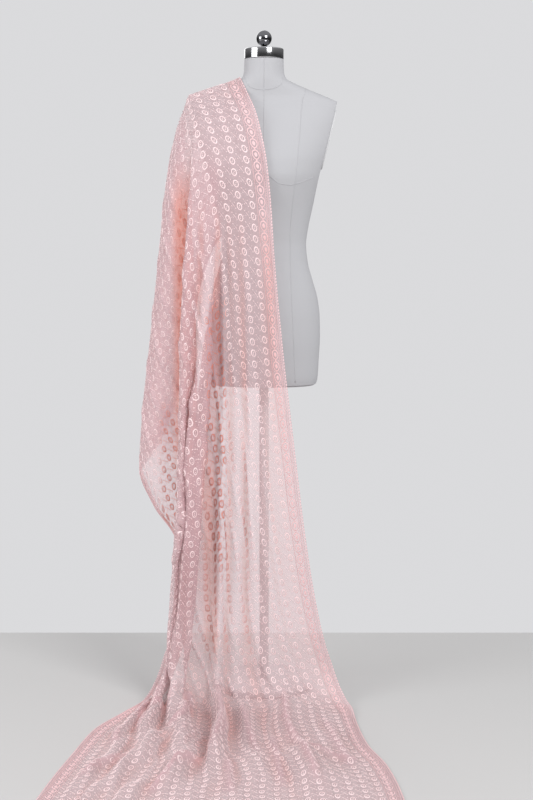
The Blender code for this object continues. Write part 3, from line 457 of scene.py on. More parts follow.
def fall_section(level, samples):
    """One section of the fall: its points and the width of cloth from the neck edge to each."""
    x, back, relief = lines_at(level)
    depth = fold_depth(x, back, relief, width_at(level)) if level < FOLD_TOP else 0.0
    stand = relief * depth - back
    if level > WING_CORNER:
        inwards, behind = np.array(TURN_STEPS).T * turn_size(level)
        x = np.append(x, x[-1] + inwards)
        stand = np.append(stand, stand[-1] - behind)
    flat = section_points(x, stand, samples)
    across, stand = flat[:, 0], flat[:, 1]
    if level < FOOT_RADIUS:
        turn = math.pi / 2 * (1.0 - level / FOOT_RADIUS)
        front = FALL_FRONT[-1] + FOOT_RADIUS * (1 - math.cos(turn)) + stand * math.cos(turn)
        height = FOOT_RADIUS * (1 - math.sin(turn)) + stand * math.sin(turn)
        height = np.maximum(height, 0.0) + WALL / 2
    else:
        front = by_height(FALL_FRONT, level) + stand
        height = np.full_like(across, level)
        if level > HEIGHTS[2]:
            share = (level - HEIGHTS[2]) / (HEIGHTS[0] - HEIGHTS[2])
            ridge_x, ridge_z = np.array(RIDGE[::-1]).T
            top = np.interp(across, ridge_x, ridge_z)
            height = HEIGHTS[2] + (top - HEIGHTS[2]) * share
            drop = np.clip(top - height, 0.0, RIDGE_ROUND)
            over = np.sqrt(2 * RIDGE_ROUND * drop - drop ** 2)
            over *= blend_in(across, RIDGE[-1][0], RIDGE[-2][0])
            edge = (len(LINES) - 1) * samples
            lifted = np.maximum(front, over)
            lifted[edge + 1:] = front[edge + 1:] + lifted[edge] - front[edge]
            front = lifted
        front = over_form(front, across, height, 0)
    points = np.stack([across, -front, height], axis=1)
    width = length_along(points)
    if level < FOLD_TOP:
        width = width * width_at(level) / width[(len(LINES) - 1) * samples]
    return points, width


def points_at(points, run, wanted):
    """Places along a row of points where a measure that grows with it has the wanted values."""
    return np.stack([np.interp(wanted, run, points[:, axis]) for axis in range(3)], axis=1)


print("width at 1.0:", round(width_at(1.0), 3), "of", SHEET_WIDTH)

# %% One row of the train, and one thread of the back
def train_section(step, samples):
    """One section of the train, at a distance along the floor from the foot of the fall."""
    x = np.array([curve_through(TRAIN_STEPS, row[0], step) for row in TRAIN_LINES.values()]) / 1000
    relief = np.array([curve_through(TRAIN_STEPS, np.array(row[1]) / 100, step)
                       for row in TRAIN_LINES.values()])
    depth = fold_depth(x, np.zeros(len(x)), relief, SHEET_WIDTH)
    flat = section_points(x, relief * depth, samples)
    width = length_along(flat)
    width *= SHEET_WIDTH / width[-1]
    front = FALL_FRONT[-1] + FOOT_RADIUS + step * (1 + HEM_SLANT * width / SHEET_WIDTH)
    settle = SETTLE * blend_in(step, 0.0, TRAIN_STEPS[1])
    height = np.maximum(flat[:, 1] - settle, 0.0) + WALL / 2
    return np.stack([flat[:, 0], -front, height], axis=1), width

def back_path(share, start, steps):
    """The way of one thread from the front's edge at start to the pleats, as rows of points."""
    shares, leaving, coming = zip(*BACK_HEADINGS)
    leaving = curve_through(shares, leaving, share)
    coming = curve_through(shares, coming, share)
    hem_x, hem_z = np.array(HEM_NECK_END) * (1 - share) + np.array(HEM_OUTER_END) * share
    _, hem_back = form_depth(hem_x, hem_z, 2 * FORM_CLEARANCE)
    end = np.array([hem_x, float(hem_back), hem_z])
    far = np.linalg.norm(end - start)
    first = start + leaving * far
    second = end - coming * far
    t = np.linspace(0.0, 1.0, steps)[:, None]
    path = (start * (1 - t) ** 3 + 3 * first * t * (1 - t) ** 2
            + 3 * second * t ** 2 * (1 - t) + end * t ** 3)
    path[:, 1] = over_form(path[:, 1], path[:, 0], path[:, 2], 1)
    pleat = 0.5 - 0.5 * math.cos(2 * math.pi * (PLEATS * share + PLEAT_START))
    depth = PLEAT_DEPTH * min(far / PLEAT_REACH, 1.0)
    path[:, 1] += depth * pleat * t[:, 0] ** PLEAT_GROWTH
    return path

print("hem of the train at", round(float(train_section(TRAIN_STEPS[-1], 2)[0][0, 1]), 3))

# %% [markdown]
# ## Threads from hem to hem
# Cloth bends along its threads, so the sheet is laid out thread by thread: along the train, up the
# fall, over the shoulder or round the wing's edge, and on to the pleats. A plain grid by height
# would tear where the wing turns. Rows sit at the same distances from that turn on every thread,
# so the turned edge comes out as one clean line.

# %% Sections in order from the train's hem to the shoulder
COLUMNS = 205
SAMPLES = 8               # points from fold line to fold line
TRAIN_ROWS = 44
# levels of the fall: close together round the foot and again over the shoulder
fall_steps = np.concatenate([np.linspace(0.0, 0.10, 9), np.linspace(0.12, 1.46, 84),
                             np.linspace(1.47, 1.56, 11), np.linspace(1.565, 1.59, 9)])
train_steps = np.linspace(TRAIN_STEPS[-1], 0.0, TRAIN_ROWS + 1)[:-1]
sections = [train_section(step, SAMPLES) for step in train_steps]
sections += [fall_section(level, SAMPLES) for level in fall_steps]
edge_width = np.array([row[1][-1] for row in sections[TRAIN_ROWS:]])
edge_point = np.array([row[0][-1] for row in sections[TRAIN_ROWS:]])
print("sections:", len(sections), "width at the top", round(edge_width[-1], 3))

# %% One thread after another
TURN_ROWS = (0.0300, 0.0240, 0.0190, 0.0150, 0.0115, 0.0080, 0.0045)   # before the turned edge
BACK_ROWS = (0.0045, 0.0100, 0.0180)                                  # and after it
FRONT_COUNT = 166         # rows on the front before those
BACK_COUNT = 49           # rows on the back after them
BACK_STEPS = 90           # points from which a thread's way over the back is measured
LEVEL_GAP = 0.0005        # a level nearer than this to a thread's own end is left out
across = np.linspace(0.0, SHEET_WIDTH, COLUMNS)


def start_level(width):
    """The level at which the front's edge has come to this width of cloth."""
    above = fall_steps > WING_CORNER
    return np.interp(width, edge_width[above][::-1], fall_steps[above][::-1])


def thread_points(width):
    """One thread's points from the train's hem to the front's edge, and on to the pleats."""
    in_wing = width > edge_width[-1]
    top = float(start_level(width)) if in_wing else fall_steps[-1]
    count = TRAIN_ROWS + int(np.sum(fall_steps < top - LEVEL_GAP))
    last = (edge_point, fall_steps, [top]) if in_wing else (*sections[-1], [width])
    ways = [(*row, [width]) for row in sections[:count]] + [last]
    front = np.array([points_at(*way)[0] for way in ways])
    return front, back_path(width / SHEET_WIDTH, front[-1], BACK_STEPS)


threads = [thread_points(width) for width in across]
front_length = np.array([length_along(front)[-1] for front, _ in threads])
back_length = np.array([length_along(back)[-1] for _, back in threads])
thread_length = front_length + back_length
print("length of a thread:", round(thread_length.min(), 3), "to", round(thread_length.max(), 3))

# %% The sheet as rows and columns of points
sheet_points = []
sheet_along = []
for width, (front, back), front_run, back_run in zip(across, threads, front_length, back_length):
    turn_rows = turn_size(start_level(width)) * np.array(TURN_ROWS + (0.0,))
    main = np.linspace(0.0, front_run - turn_rows[0], FRONT_COUNT)
    near = front_run - turn_rows[1:]
    after = np.array(BACK_ROWS)
    rest = np.linspace(BACK_ROWS[-1], back_run, BACK_COUNT + 1)[1:]
    sheet_points.append(np.concatenate([
        points_at(front, length_along(front), np.concatenate([main, near])),
        points_at(back, length_along(back), np.concatenate([after, rest]))]))
    sheet_along.append(np.concatenate([main, near, front_run + after, front_run + rest]))
sheet_points = np.array(sheet_points).swapaxes(0, 1)
sheet_along = np.array(sheet_along).T
CUT_LENGTH = round(float(np.median(thread_length)), 2)
sheet_along *= CUT_LENGTH / thread_length
print("rows and columns:", sheet_points.shape[:2], "cut length", CUT_LENGTH)

# %% [markdown]
# ## Fine creases
# The large folds leave a tenth of the width over. Net takes that up in small creases which start
# and fade along a thread. They are listed one by one: where a crease starts and ends along the cloth,
# which thread it follows at each end, how wide it is and how far it stands proud.

# %% Crease table
# start and end along the cloth in centimetres, thread at the start and at the end in millimetres,
# half width and height in tenths of a millimetre
CREASES = np.array((
    (5, 60, 75, 90, 65, 38),
    (30, 110, 128, 115, 75, 41),
    (75, 180, 98, 92, 60, 32),
    (0, 55, 170, 190, 70, 49),
    (70, 195, 160, 150, 70, 43),
    (55, 140, 205, 212, 60, 43),
    (90, 205, 240, 228, 65, 46),
    (10, 80, 262, 250, 70, 49),
    (60, 175, 288, 275, 65, 43),
    (100, 195, 318, 300, 60, 41),
    (20, 95, 335, 345, 70, 49),
    (65, 160, 372, 360, 65, 43),
    (0, 70, 402, 385, 70, 46),
    (80, 170, 415, 400, 60, 46),
    (45, 130, 448, 455, 70, 43),
    (5, 75, 490, 470, 70, 49),
    (70, 155, 505, 480, 65, 43),
    (30, 120, 540, 530, 75, 46),
    (0, 65, 585, 560, 75, 49),
    (80, 160, 590, 560, 70, 41),
    (55, 145, 640, 600, 80, 43),
    (5, 80, 668, 650, 80, 49),
    (70, 150, 705, 650, 90, 41),
    (10, 90, 735, 720, 85, 46),
    (75, 140, 765, 715, 95, 38),
    (0, 70, 800, 785, 90, 49),
    (65, 125, 825, 780, 90, 38),
    (5, 60, 860, 850, 90, 41),
    (145, 230, 300, 330, 90, 40),
    (135, 230, 400, 420, 95, 44),
    (130, 230, 500, 520, 95, 40),
    (125, 220, 590, 620, 100, 44),
    (120, 225, 690, 715, 100, 40),
    (115, 220, 780, 800, 100, 40),
    (80, 132, 612, 612, 240, 160),
    (122, 162, 680, 320, 240, 150),
)) / (100, 100, 1000, 1000, 10000, 10000)


CREASE_SWAY = 0.004       # how far a crease wanders to either side of its line
SWAY_TURNS = 9            # how quickly it does, in radians to the metre
SWAY_SHIFT = 40           # how far one crease's wandering is from the next one's


def crease_height(width, along):
    """How far the fine creases lift the cloth, at its widths and lengths along it."""
    lift = np.zeros_like(width)
    for start, end, thread_a, thread_b, half, height in CREASES:
        part = np.clip((along - start) / (end - start), 0.0, 1.0)
        sway = CREASE_SWAY * np.sin(SWAY_TURNS * along + SWAY_SHIFT * thread_a)
        middle = thread_a + (thread_b - thread_a) * part + sway
        fade = np.sin(math.pi * part) ** 0.5
        lift += height * fade * np.exp(-((width - middle) / half) ** 2)
    return lift


print("fine creases:", len(CREASES))

# %% Ridges where the cloth lands on the floor
# places of x and y along each ridge, half width and height, in millimetres
FLOOR_RIDGES = (
    (((-125, -145), (-105, -352), (-100, -430), (-129, -575)), 10, 21),
    (((54, -177), (56, -344), (85, -510), (105, -619), (122, -760)), 9, 19),
    (((-129, -575), (-203, -662), (-256, -790)), 10, 17),
    (((-262, -165), (-306, -293), (-313, -416)), 10, 18),
    (((-193, -165), (-220, -205), (-261, -281), (-301, -293)), 11, 16),
    (((-193, -165), (-198, -344), (-241, -420)), 9, 17),
    (((-54, -255), (-36, -420), (-10, -560)), 9, 9),
    (((-82, -575), (-72, -790)), 10, 11),
    (((-366, -380), (-360, -500)), 10, 10),
    (((-308, -543), (-373, -619), (-421, -700)), 12, 11),
    (((85, -510), (150, -560), (235, -600)), 9, 9),
    (((160, -300), (172, -450), (200, -620)), 11, 8),
    (((20, -420), (30, -560), (46, -740)), 9, 9),
)


RIDGE_SAMPLES = 60        # points along a ridge from which the cloth's distance is taken
RIDGE_FADE = 6            # a ridge rises and falls over one part in this many of its length
RIDGE_OFF = (0.03, 0.09)  # heights between which the ridges fade out where the cloth rises


def floor_lift(points):
    """How far the ridges lift the cloth where it lies on the floor."""
    raised = np.zeros(points.shape[:-1])
    for places, half, height in FLOOR_RIDGES:
        fine = np.linspace(0, len(places) - 1, RIDGE_SAMPLES)
        line = curve_through(np.arange(len(places)), np.array(places) / 1000, fine)
        gap = np.linalg.norm(points[..., None, :2] - line, axis=-1)
        nearest = np.argmin(gap, axis=-1)
        part = nearest / (len(line) - 1)
        fade = np.clip(RIDGE_FADE * (1 - part), 0, 1) * np.clip(RIDGE_FADE * part, 0, 1)
        raised += height / 1000 * fade * np.exp(-(gap.min(axis=-1) / (half / 1000)) ** 2)
    return raised * (1 - blend_in(points[..., 2], *RIDGE_OFF))


print("ridges on the floor:", len(FLOOR_RIDGES))

# %% Normals of the sheet
def unit(vectors):
    """The same directions at a length of 1."""
    return vectors / np.linalg.norm(vectors, axis=-1, keepdims=True)


def sheet_normals(points):
    """Normals on the embroidered side, which faces outwards all the way round."""
    over = np.gradient(points, axis=1)
    up = np.gradient(points, axis=0)
    return unit(np.cross(up, over))


TURN_CLEAR = 0.045        # reach on both sides of the wing's turn within which creases fade out
TRAIN_REACH = 1.1         # rows up to this length along the cloth may lie on the floor
sheet_width = np.broadcast_to(across, sheet_along.shape)
turn_along = front_length * CUT_LENGTH / thread_length
from_turn = sheet_along - turn_along
lift = crease_height(sheet_width, sheet_along) * (1 - np.exp(-(from_turn / TURN_CLEAR) ** 2))
sheet_points = sheet_points + sheet_normals(sheet_points) * lift[..., None]
low_rows = sheet_along.max(axis=1) < TRAIN_REACH
floor_ridges = np.zeros_like(lift)
floor_ridges[low_rows] = floor_lift(sheet_points[low_rows])
sheet_points[..., 2] += floor_ridges
sheet_points[..., 2] = np.maximum(sheet_points[..., 2], WALL / 2)
normals = sheet_normals(sheet_points)
print("the front faces", normals[FRONT_COUNT // 2, COLUMNS // 2].round(2))

# %% [markdown]
# Light that falls into a deep fold of pink net passes through pink many times before it comes out,
# so the bottom of a fold looks warm and deep. A renderer follows only a few of those passages.
# Each point of the sheet therefore keeps a number for how deep it lies below its surroundings,
# and the finishes read it as an attribute and paint shade with it: a darker, warmer pink on the
# net and a dark red on the threads.

# %% How deep each point lies in its fold, as the mask of the painted shade
def around(values, reach):
    """Mean of a value over the columns on both sides of each point."""
    padded = np.concatenate([values[:, :1]] * reach + [values] + [values[:, -1:]] * reach, axis=1)
    count = 2 * reach + 1
    return sum(padded[:, start:start + values.shape[1]] for start in range(count)) / count


def fold_depths(reach, full):
    """0 on the crests and flats, 1 where a point lies this far below the columns around it."""
    facing = unit(around(normals, reach))
    below = np.sum((around(sheet_points, reach) - sheet_points) * facing, axis=-1)
    return np.clip(below / full, 0.0, 1.0)


WIDE_FOLDS = (10, 0.020)  # columns on both sides, and the depth that counts as full
FINE_FOLDS = (3, 0.0030)
FINE_SHARE = 0.2          # how much the fine folds add to the wide ones
STRENGTH = (0.4, 0.8)     # of the painted shade on the floor, and in the fall
FALL_START = (0.03, 0.25)  # heights between which the one runs to the other
# painted shade: 0 to 1, how far the colour is painted darker and warmer where the cloth lies in a fold
valley = np.clip(fold_depths(*WIDE_FOLDS) + FINE_SHARE * fold_depths(*FINE_FOLDS), 0.0, 1.0)
on_fall = blend_in(sheet_points[..., 2], *FALL_START)
valley *= STRENGTH[0] + (STRENGTH[1] - STRENGTH[0]) * on_fall
print("share of the cloth in deep folds:", round(float((valley > 0.5).mean()), 3))

# %% Painted shade beside the roll and on the wing, and where the cloth is crushed together
def between(values, start, full, last, end):
    """1 from full to last, and 0 before start and after end."""
    return blend_in(values, start, full) * (1 - blend_in(values, last, end))


def share_inside(left, front, height):
    """How far each point of the sheet lies inside a block with soft sides."""
    return (between(-sheet_points[..., 0], *left) * between(-sheet_points[..., 1], *front)
            * between(sheet_points[..., 2], *height))


# left, front and height of each box of painted shade: where it starts, is full, is full to, and
# ends; and its strength on the net and on the thread
SHADES = (
    ((0.150, 0.160, 0.216, 0.250), (0.050, 0.070, 0.116, 0.126), (0.55, 0.66, 1.26, 1.44), 1.0, 1.0),
    ((0.116, 0.130, 0.150, 0.168), (0.080, 0.090, 0.250, 0.300), (0.08, 0.18, 0.52, 0.74), 0.7, 0.7),
    ((0.094, 0.102, 0.144, 0.156), (0.080, 0.090, 0.250, 0.300), (0.30, 0.40, 1.02, 1.10), 0.0, 1.0),
    ((0.190, 0.200, 0.262, 0.285), (0.030, 0.050, 0.130, 0.150), (0.42, 0.48, 0.74, 0.82), 0.0, 1.0),
)
# the boxes add painted shade, two to the net and the threads, two to the threads alone
thread_painted_shade = valley.copy()
for left, front, height, on_net, on_thread in SHADES:
    shade = share_inside(left, front, height)
    valley = np.maximum(valley, on_net * shade)
    thread_painted_shade = np.maximum(thread_painted_shade, on_thread * shade)
RIDGE_FULL = 0.012        # height from which a ridge on the floor is cloth lying double
RIDGE_SHARE = 1.8         # how dense such a ridge is, set against the side roll
# the blocks of the side roll and of the wing's front, with how dense each is
DENSE = (
    ((0.100, 0.128, 0.205, 0.230), (0.075, 0.085, 0.250, 0.300), (0.10, 0.40, 1.34, 1.48), 1.0),
    ((0.195, 0.215, 0.340, 0.360), (0.000, 0.020, 0.130, 0.150), (0.60, 0.74, 1.50, 1.58), 1.3),
)
gathered = RIDGE_SHARE * np.clip(floor_ridges / RIDGE_FULL, 0.0, 1.0)
for left, front, height, dense in DENSE:
    gathered = np.maximum(gathered, dense * share_inside(left, front, height))
print("share of the cloth that is crushed together:", round(float((gathered > 0.5).mean()), 3))

# %% [markdown]
# ## The cloth
# The points become one sheet of quads, and Solidify gives it the thickness of net. A cloth
# simulation or a subdivided plane would do as well, but the sheet already has its folds. Its UV map
# is in metres along the threads, so that the weave follows every fold.

# %% The sheet's mesh
NET_THICKNESS = 0.0004


def mesh_piece(name, points, faces):
    """A new object with a mesh made of points and faces."""
    mesh = bpy.data.meshes.new(name)
    mesh.from_pydata([tuple(point) for point in points], [], faces)
    piece = bpy.data.objects.new(name, mesh)
    bpy.context.scene.collection.objects.link(piece)
    return piece


def faces_outwards(piece):
    """Turn all faces of a closed mesh outwards."""
    only(piece)
    bpy.ops.object.mode_set(mode="EDIT")
    bpy.ops.mesh.select_all(action="SELECT")
    bpy.ops.mesh.normals_make_consistent(inside=False)
    bpy.ops.object.mode_set(mode="OBJECT")


def apply_modifier(piece, kind, **settings):
    """Add a modifier to a piece and apply it."""
    only(piece)
    modifier = piece.modifiers.new(kind.lower(), kind)
    for key, value in settings.items():
        setattr(modifier, key, value)
    bpy.ops.object.modifier_apply(modifier=modifier.name)


def keep_values(piece, name, values):
    """Store one number for each of a piece's points as its attribute."""
    attribute = piece.data.attributes.new(name, "FLOAT", "POINT")
    attribute.data.foreach_set("value", values.ravel().astype(np.float32))


row_count, column_count = sheet_points.shape[:2]
quads = [(row * column_count + column, row * column_count + column + 1,
          (row + 1) * column_count + column + 1, (row + 1) * column_count + column)
         for row in range(row_count - 1) for column in range(column_count - 1)]
stole_cloth = mesh_piece("stole_cloth", sheet_points.reshape(-1, 3), quads)
thread_map = stole_cloth.data.uv_layers.new(name="threads")
flat_map = np.stack([sheet_width, sheet_along], axis=-1).reshape(-1, 2)
corner = np.zeros(len(stole_cloth.data.loops), int)
stole_cloth.data.loops.foreach_get("vertex_index", corner)
thread_map.data.foreach_set("uv", flat_map[corner].ravel())
# the painted shade of the folds, as an attribute that the net's finish reads
keep_values(stole_cloth, "valley", valley)
keep_values(stole_cloth, "gathered", gathered)
apply_modifier(stole_cloth, "SOLIDIFY", thickness=NET_THICKNESS, offset=0.0)
stole_cloth.data.shade_smooth()
print("stole_cloth:", len(stole_cloth.data.polygons), "faces")

# %% Laying small shapes on the cloth
# points, normals and the threads' painted shade, to be read anywhere on the sheet
sheet_facts = np.concatenate([sheet_points, normals, thread_painted_shade[..., None]], axis=-1)


def read_sheet(width, along):
    """Point, normal and the threads' painted shade of the sheet at widths and lengths along it."""
    step = across[1]
    left = np.clip((width / step).astype(int), 0, column_count - 2)
    part = width / step - left
    facts = np.zeros((len(width), sheet_facts.shape[-1]))
    for column in range(column_count):
        for chosen, share in ((left == column, 1 - part), (left + 1 == column, part)):
            if chosen.any():
                for axis in range(facts.shape[1]):
                    facts[chosen, axis] += share[chosen] * np.interp(
                        along[chosen], sheet_along[:, column], sheet_facts[:, column, axis])
    return facts[:, :3], unit(facts[:, 3:6]), facts[:, 6]


def on_cloth(width, along, height):
    """Places on the cloth for shapes given flat: width, length along, and height above it."""
    place, facing, _ = read_sheet(width, along)
    place = place + facing * height[:, None]
    place[:, 2] = np.maximum(place[:, 2], 0.0)
    return place


print("middle of the cloth:", on_cloth(np.array([0.46]), np.array([1.2]), np.array([0.0])).round(3))

# %% [markdown]
# ## The embroidered flower
# Machine embroidery on net repeats one small motif. Here it is an oval ring with two eyelets, a
# slanting sprig with a leaf, and dots. The motif is modelled once, flat and with few faces, and
# then laid on the cloth copy by copy, where each copy takes the curve of its own place.

# %% Small stitched shapes
def join_flat(shapes):
    """Join shapes into one flat motif and return its points and faces."""
    only(shapes[0])
    for shape in shapes:
        shape.select_set(True)
    if len(shapes) > 1:
        bpy.ops.object.join()
    motif = bpy.context.object
    points = np.array([vertex.co for vertex in motif.data.vertices])
    faces = [tuple(polygon.vertices) for polygon in motif.data.polygons]
    bpy.data.objects.remove(motif, do_unlink=True)
    return points, faces


RING_RISE = 0.55          # how round a ring's thread is: its height for its width


def stitched_ring(x, y, half_width, half_length, thread, turn=0.0, segments=10):
    """An oval ring of satin stitch."""
    return added(bpy.ops.mesh.primitive_torus_add, "ring",
                 (half_width, half_length, half_width * RING_RISE),
                 major_segments=segments, minor_segments=3, major_radius=1.0,
                 minor_radius=thread / half_width, location=(x, y, 0.0), rotation=(0.0, 0.0, turn))


def stitched_dot(x, y, half_width, half_length, turn=0.0, segments=4, rings=2, rise=0.0010):
    """A small pad of satin stitch, from a round knot to a long stroke."""
    return added(bpy.ops.mesh.primitive_uv_sphere_add, "dot", (half_width, half_length, rise),
                 segments=segments, ring_count=rings, radius=1.0,
                 location=(x, y, 0.0), rotation=(0.0, 0.0, turn))


flower = join_flat([
    stitched_ring(0.0, 0.0, 0.0060, 0.0078, 0.0018, turn=0.12),
    stitched_dot(-0.0007, 0.0023, 0.0017, 0.0019, segments=5),
    stitched_dot(0.0007, -0.0023, 0.0017, 0.0019, segments=5),
    stitched_dot(0.0168, -0.0006, 0.0010, 0.0088, turn=-0.75),
    stitched_dot(0.0236, 0.0064, 0.0014, 0.0030, turn=-1.25),
    stitched_dot(0.0110, -0.0074, 0.0014, 0.0028, turn=0.35),
    stitched_dot(0.0214, -0.0044, 0.0014, 0.0016),
    stitched_dot(0.0126, 0.0064, 0.0014, 0.0016),
    stitched_dot(-0.0090, 0.0064, 0.0012, 0.0014),
])
print("flower motif:", len(flower[1]), "faces")

# %% Copies of a motif on one stretch of the cloth
def copies_on_cloth(name, points, faces, places):
    """One piece with a copy of a motif at each place, given as width and length along."""
    places = np.array(places)
    moved = points[None, :, :] + np.concatenate([places, np.zeros((len(places), 1))], axis=1)[:, None]
    moved = moved.reshape(-1, 3)
    flat_width = np.clip(moved[:, 0], 0.0, SHEET_WIDTH)
    laid = on_cloth(flat_width, moved[:, 1], moved[:, 2])
    count = len(points)
    all_faces = [tuple(corner + copy * count for corner in reversed(face))
                 for copy in range(len(places)) for face in faces]
    piece = mesh_piece(name, laid, all_faces)
    # each copy takes the threads' painted shade from its place on the cloth
    keep_values(piece, "valley", read_sheet(flat_width, moved[:, 1])[2])
    print(name + ":", len(places), "motifs,", len(all_faces), "faces")
    return piece

# %% Flowers all over the field
FLOWER_COLUMNS = 23
FLOWER_STEP = 0.0275
FLOWER_MIDDLE = 0.36      # where in its column's width a flower stands; its sprig fills the rest
FLOWER_ROOM = (0.016, 0.014)   # from the hems to the first flower and to the last
TRAIN_END = 0.62          # lengths along the cloth up to here lie on the floor
WING_SIDE = 0.52          # threads beyond this width hang in the wing
column_step = (SHEET_WIDTH - 2 * BORDER) / FLOWER_COLUMNS
stretches = {"train_flowers": [], "fall_flowers": [], "wing_flowers": [], "back_flowers": []}
for column in range(FLOWER_COLUMNS):
    width = BORDER + (column + FLOWER_MIDDLE) * column_step
    for row in range(int(CUT_LENGTH / FLOWER_STEP)):
        along = FLOWER_ROOM[0] + (row + (0.5 if column % 2 else 0.0)) * FLOWER_STEP
        if along > CUT_LENGTH - FLOWER_ROOM[1]:
            continue
        if along < TRAIN_END:
            stretch = "train_flowers"
        elif along > np.interp(width, across, turn_along):
            stretch = "back_flowers"
        else:
            stretch = "fall_flowers" if width < WING_SIDE else "wing_flowers"
        stretches[stretch].append((width, along))
embroidery = [copies_on_cloth(name, *flower, places) for name, places in stretches.items()]

# %% [markdown]
# ## The edging
# Both long edges carry the same band: a cord, a row of ringed ovals with dots between them, two
# more cords with a braid between them, and a scalloped rim. The ovals are copies of one motif
# again, and the cords are thin tubes that follow one thread. The short ends have a rolled hem.

# %% Cords
CORD_POINTS = 320         # points along a cord
CORD_ANGLES = (0.0, 2.1, 4.2)   # the three sides of a cord, round its middle


def tube_faces(first, sides, count):
    """Faces of a closed tube whose sides are rows of count points each, from point first on."""
    faces = []
    for side in range(sides):
        here, after = first + side * count, first + (side + 1) % sides * count
        faces += [(here + row, here + row + 1, after + row + 1, after + row)
                  for row in range(count - 1)]
    ends = [tuple(first + side * count + row for side in range(sides)) for row in (0, count - 1)]
    return faces + [ends[0], ends[1][::-1]]


def cords_on_cloth(name, lines, radius):
    """Thin cords on the cloth, each from one place to another, given as width and length along."""
    points, faces, painted_shades = [], [], []
    for start, end in np.array(lines, float):
        faces += tube_faces(len(points) * CORD_POINTS, len(CORD_ANGLES), CORD_POINTS)
        flat = start + (end - start) * np.linspace(0.0, 1.0, CORD_POINTS)[:, None]
        aside = np.array([end[1] - start[1], start[0] - end[0]]) / np.linalg.norm(end - start)
        for angle in CORD_ANGLES:
            side = flat + aside * radius * math.sin(angle)
            height = np.full(CORD_POINTS, radius * math.cos(angle))
            points.append(on_cloth(side[:, 0], side[:, 1], height))
            painted_shades.append(read_sheet(flat[:, 0], flat[:, 1])[2])
    piece = mesh_piece(name, np.concatenate(points), faces)
    faces_outwards(piece)
    # the cords take the threads' painted shade along their way
    keep_values(piece, "valley", np.concatenate(painted_shades))
    print(name + ":", len(faces), "faces")
    return piece

# %% Ovals, rim and braid of both edgings, and the hems
oval = join_flat([
    stitched_dot(0.0, 0.0, 0.0046, 0.0068, segments=8, rings=3, rise=0.0008),
    stitched_ring(0.0, 0.0, 0.0086, 0.0112, 0.0016, segments=12),
    stitched_dot(0.0, 0.0145, 0.0024, 0.0022, segments=6),
    stitched_dot(0.0080, 0.0145, 0.0014, 0.0014),
    stitched_dot(-0.0080, 0.0145, 0.0014, 0.0014),
])
scallop = join_flat([stitched_dot(0.0, 0.0, 0.0022, 0.0034, segments=6)])
braid_stitch = join_flat([stitched_dot(0.0, 0.0, 0.0005, 0.0026, turn=0.6)])
# name, motif, its distance from the cloth's edge, the first one's from the hem, step, room at the end
EDGING_ROWS = (
    ("_ovals", oval, 0.0262, 0.016, 0.0290, 0.030),
    ("_rim", scallop, 0.0018, 0.005, 0.0078, 0.008),
    ("_braid", braid_stitch, 0.0110, 0.006, 0.0058, 0.012),
)
EDGING_CORDS = (0.0392, 0.0142, 0.0078)   # distances of the three cords from the cloth's edge
CORD_RADIUS = 0.0010
CORD_ENDS = (0.002, CUT_LENGTH - 0.002)
HEM_RADIUS = 0.0013
HEM_ENDS = (0.001, SHEET_WIDTH - 0.001)
HEM_PLACES = (0.0025, CUT_LENGTH - 0.0025)


def from_edge(place, mirror):
    """The width at this distance from the neck edge, or from the outer edge if mirrored."""
    return SHEET_WIDTH - place if mirror else place


edgings = []
for name, mirror in (("neck_edging", False), ("outer_edging", True)):
    for part, motif, place, first, step, room in EDGING_ROWS:
        count = int((CUT_LENGTH - room) / step)
        places = [(from_edge(place, mirror), first + row * step) for row in range(count)]
        edgings.append(copies_on_cloth(name + part, *motif, places))
    cords = [[(from_edge(place, mirror), along) for along in CORD_ENDS] for place in EDGING_CORDS]
    edgings.append(cords_on_cloth(name + "_cords", cords, CORD_RADIUS))
hems = [[(width, along) for width in HEM_ENDS] for along in HEM_PLACES]
edgings.append(cords_on_cloth("short_hems", hems, HEM_RADIUS))

# %% [markdown]
# ## The form
# A dress form is a padded body under tight canvas, cut off flat at the arms and neck. Its outline
# comes from one oval per height, so a ring is drawn out of a circle, level by level. A bisecting
# plane draws the rim of each arm's end, and all that stands out past the plane is pressed flat, so
# the body stays closed.

# %% Canvas body
ARM_PLATE_TOP = (0.1935, 1.563)      # x and height of the arm plate's outer face
ARM_PLATE_BOTTOM = (0.1510, 1.391)
ARM_PLATE_THICKNESS = 0.004
PIECE_GAP = 0.0003        # left between pieces that touch
RING_SIDES = 96
RING_LEVELS = (0.855, 1.67, 60)      # more rings between the form's own sections: from, to, how many
SIDE_EASE = 0.055         # how fast the sides leave the arm's plane below SIDE_EASE_TOP
SIDE_EASE_TOP = 1.375


def arm_place(side, inwards):
    """A point this far inside the middle of an arm plate's outer face, and how the face leans."""
    top, bottom = np.array(ARM_PLATE_TOP), np.array(ARM_PLATE_BOTTOM)
    x, z = (top + bottom) / 2
    up = (top - bottom) / np.linalg.norm(top - bottom)
    lean = math.atan2(side * up[0], up[1])
    out = -side * inwards
    return (side * x + out * math.cos(lean), 0.0, z - out * math.sin(lean)), lean


def arm_limit(height):
    """How far out the sides may reach, so that the body runs smoothly into the flat arm ends."""
    (x, _, z), lean = arm_place(1, 0.0)
    plane = x + (height - z) * math.tan(lean) - (ARM_PLATE_THICKNESS + PIECE_GAP) / math.cos(lean)
    return plane + PIECE_GAP + SIDE_EASE * max(SIDE_EASE_TOP - height, 0.0)


def oval_point(angle, height):
    """A point of the form's oval at a height."""
    half, front, back = form_section(height)
    over, deep = math.cos(angle), math.sin(angle)
    depth = back if deep > 0 else front
    x = half * math.copysign(abs(over) ** (2 / FORM_POWER), over)
    return x, depth * math.copysign(abs(deep) ** (2 / FORM_POWER), deep), height


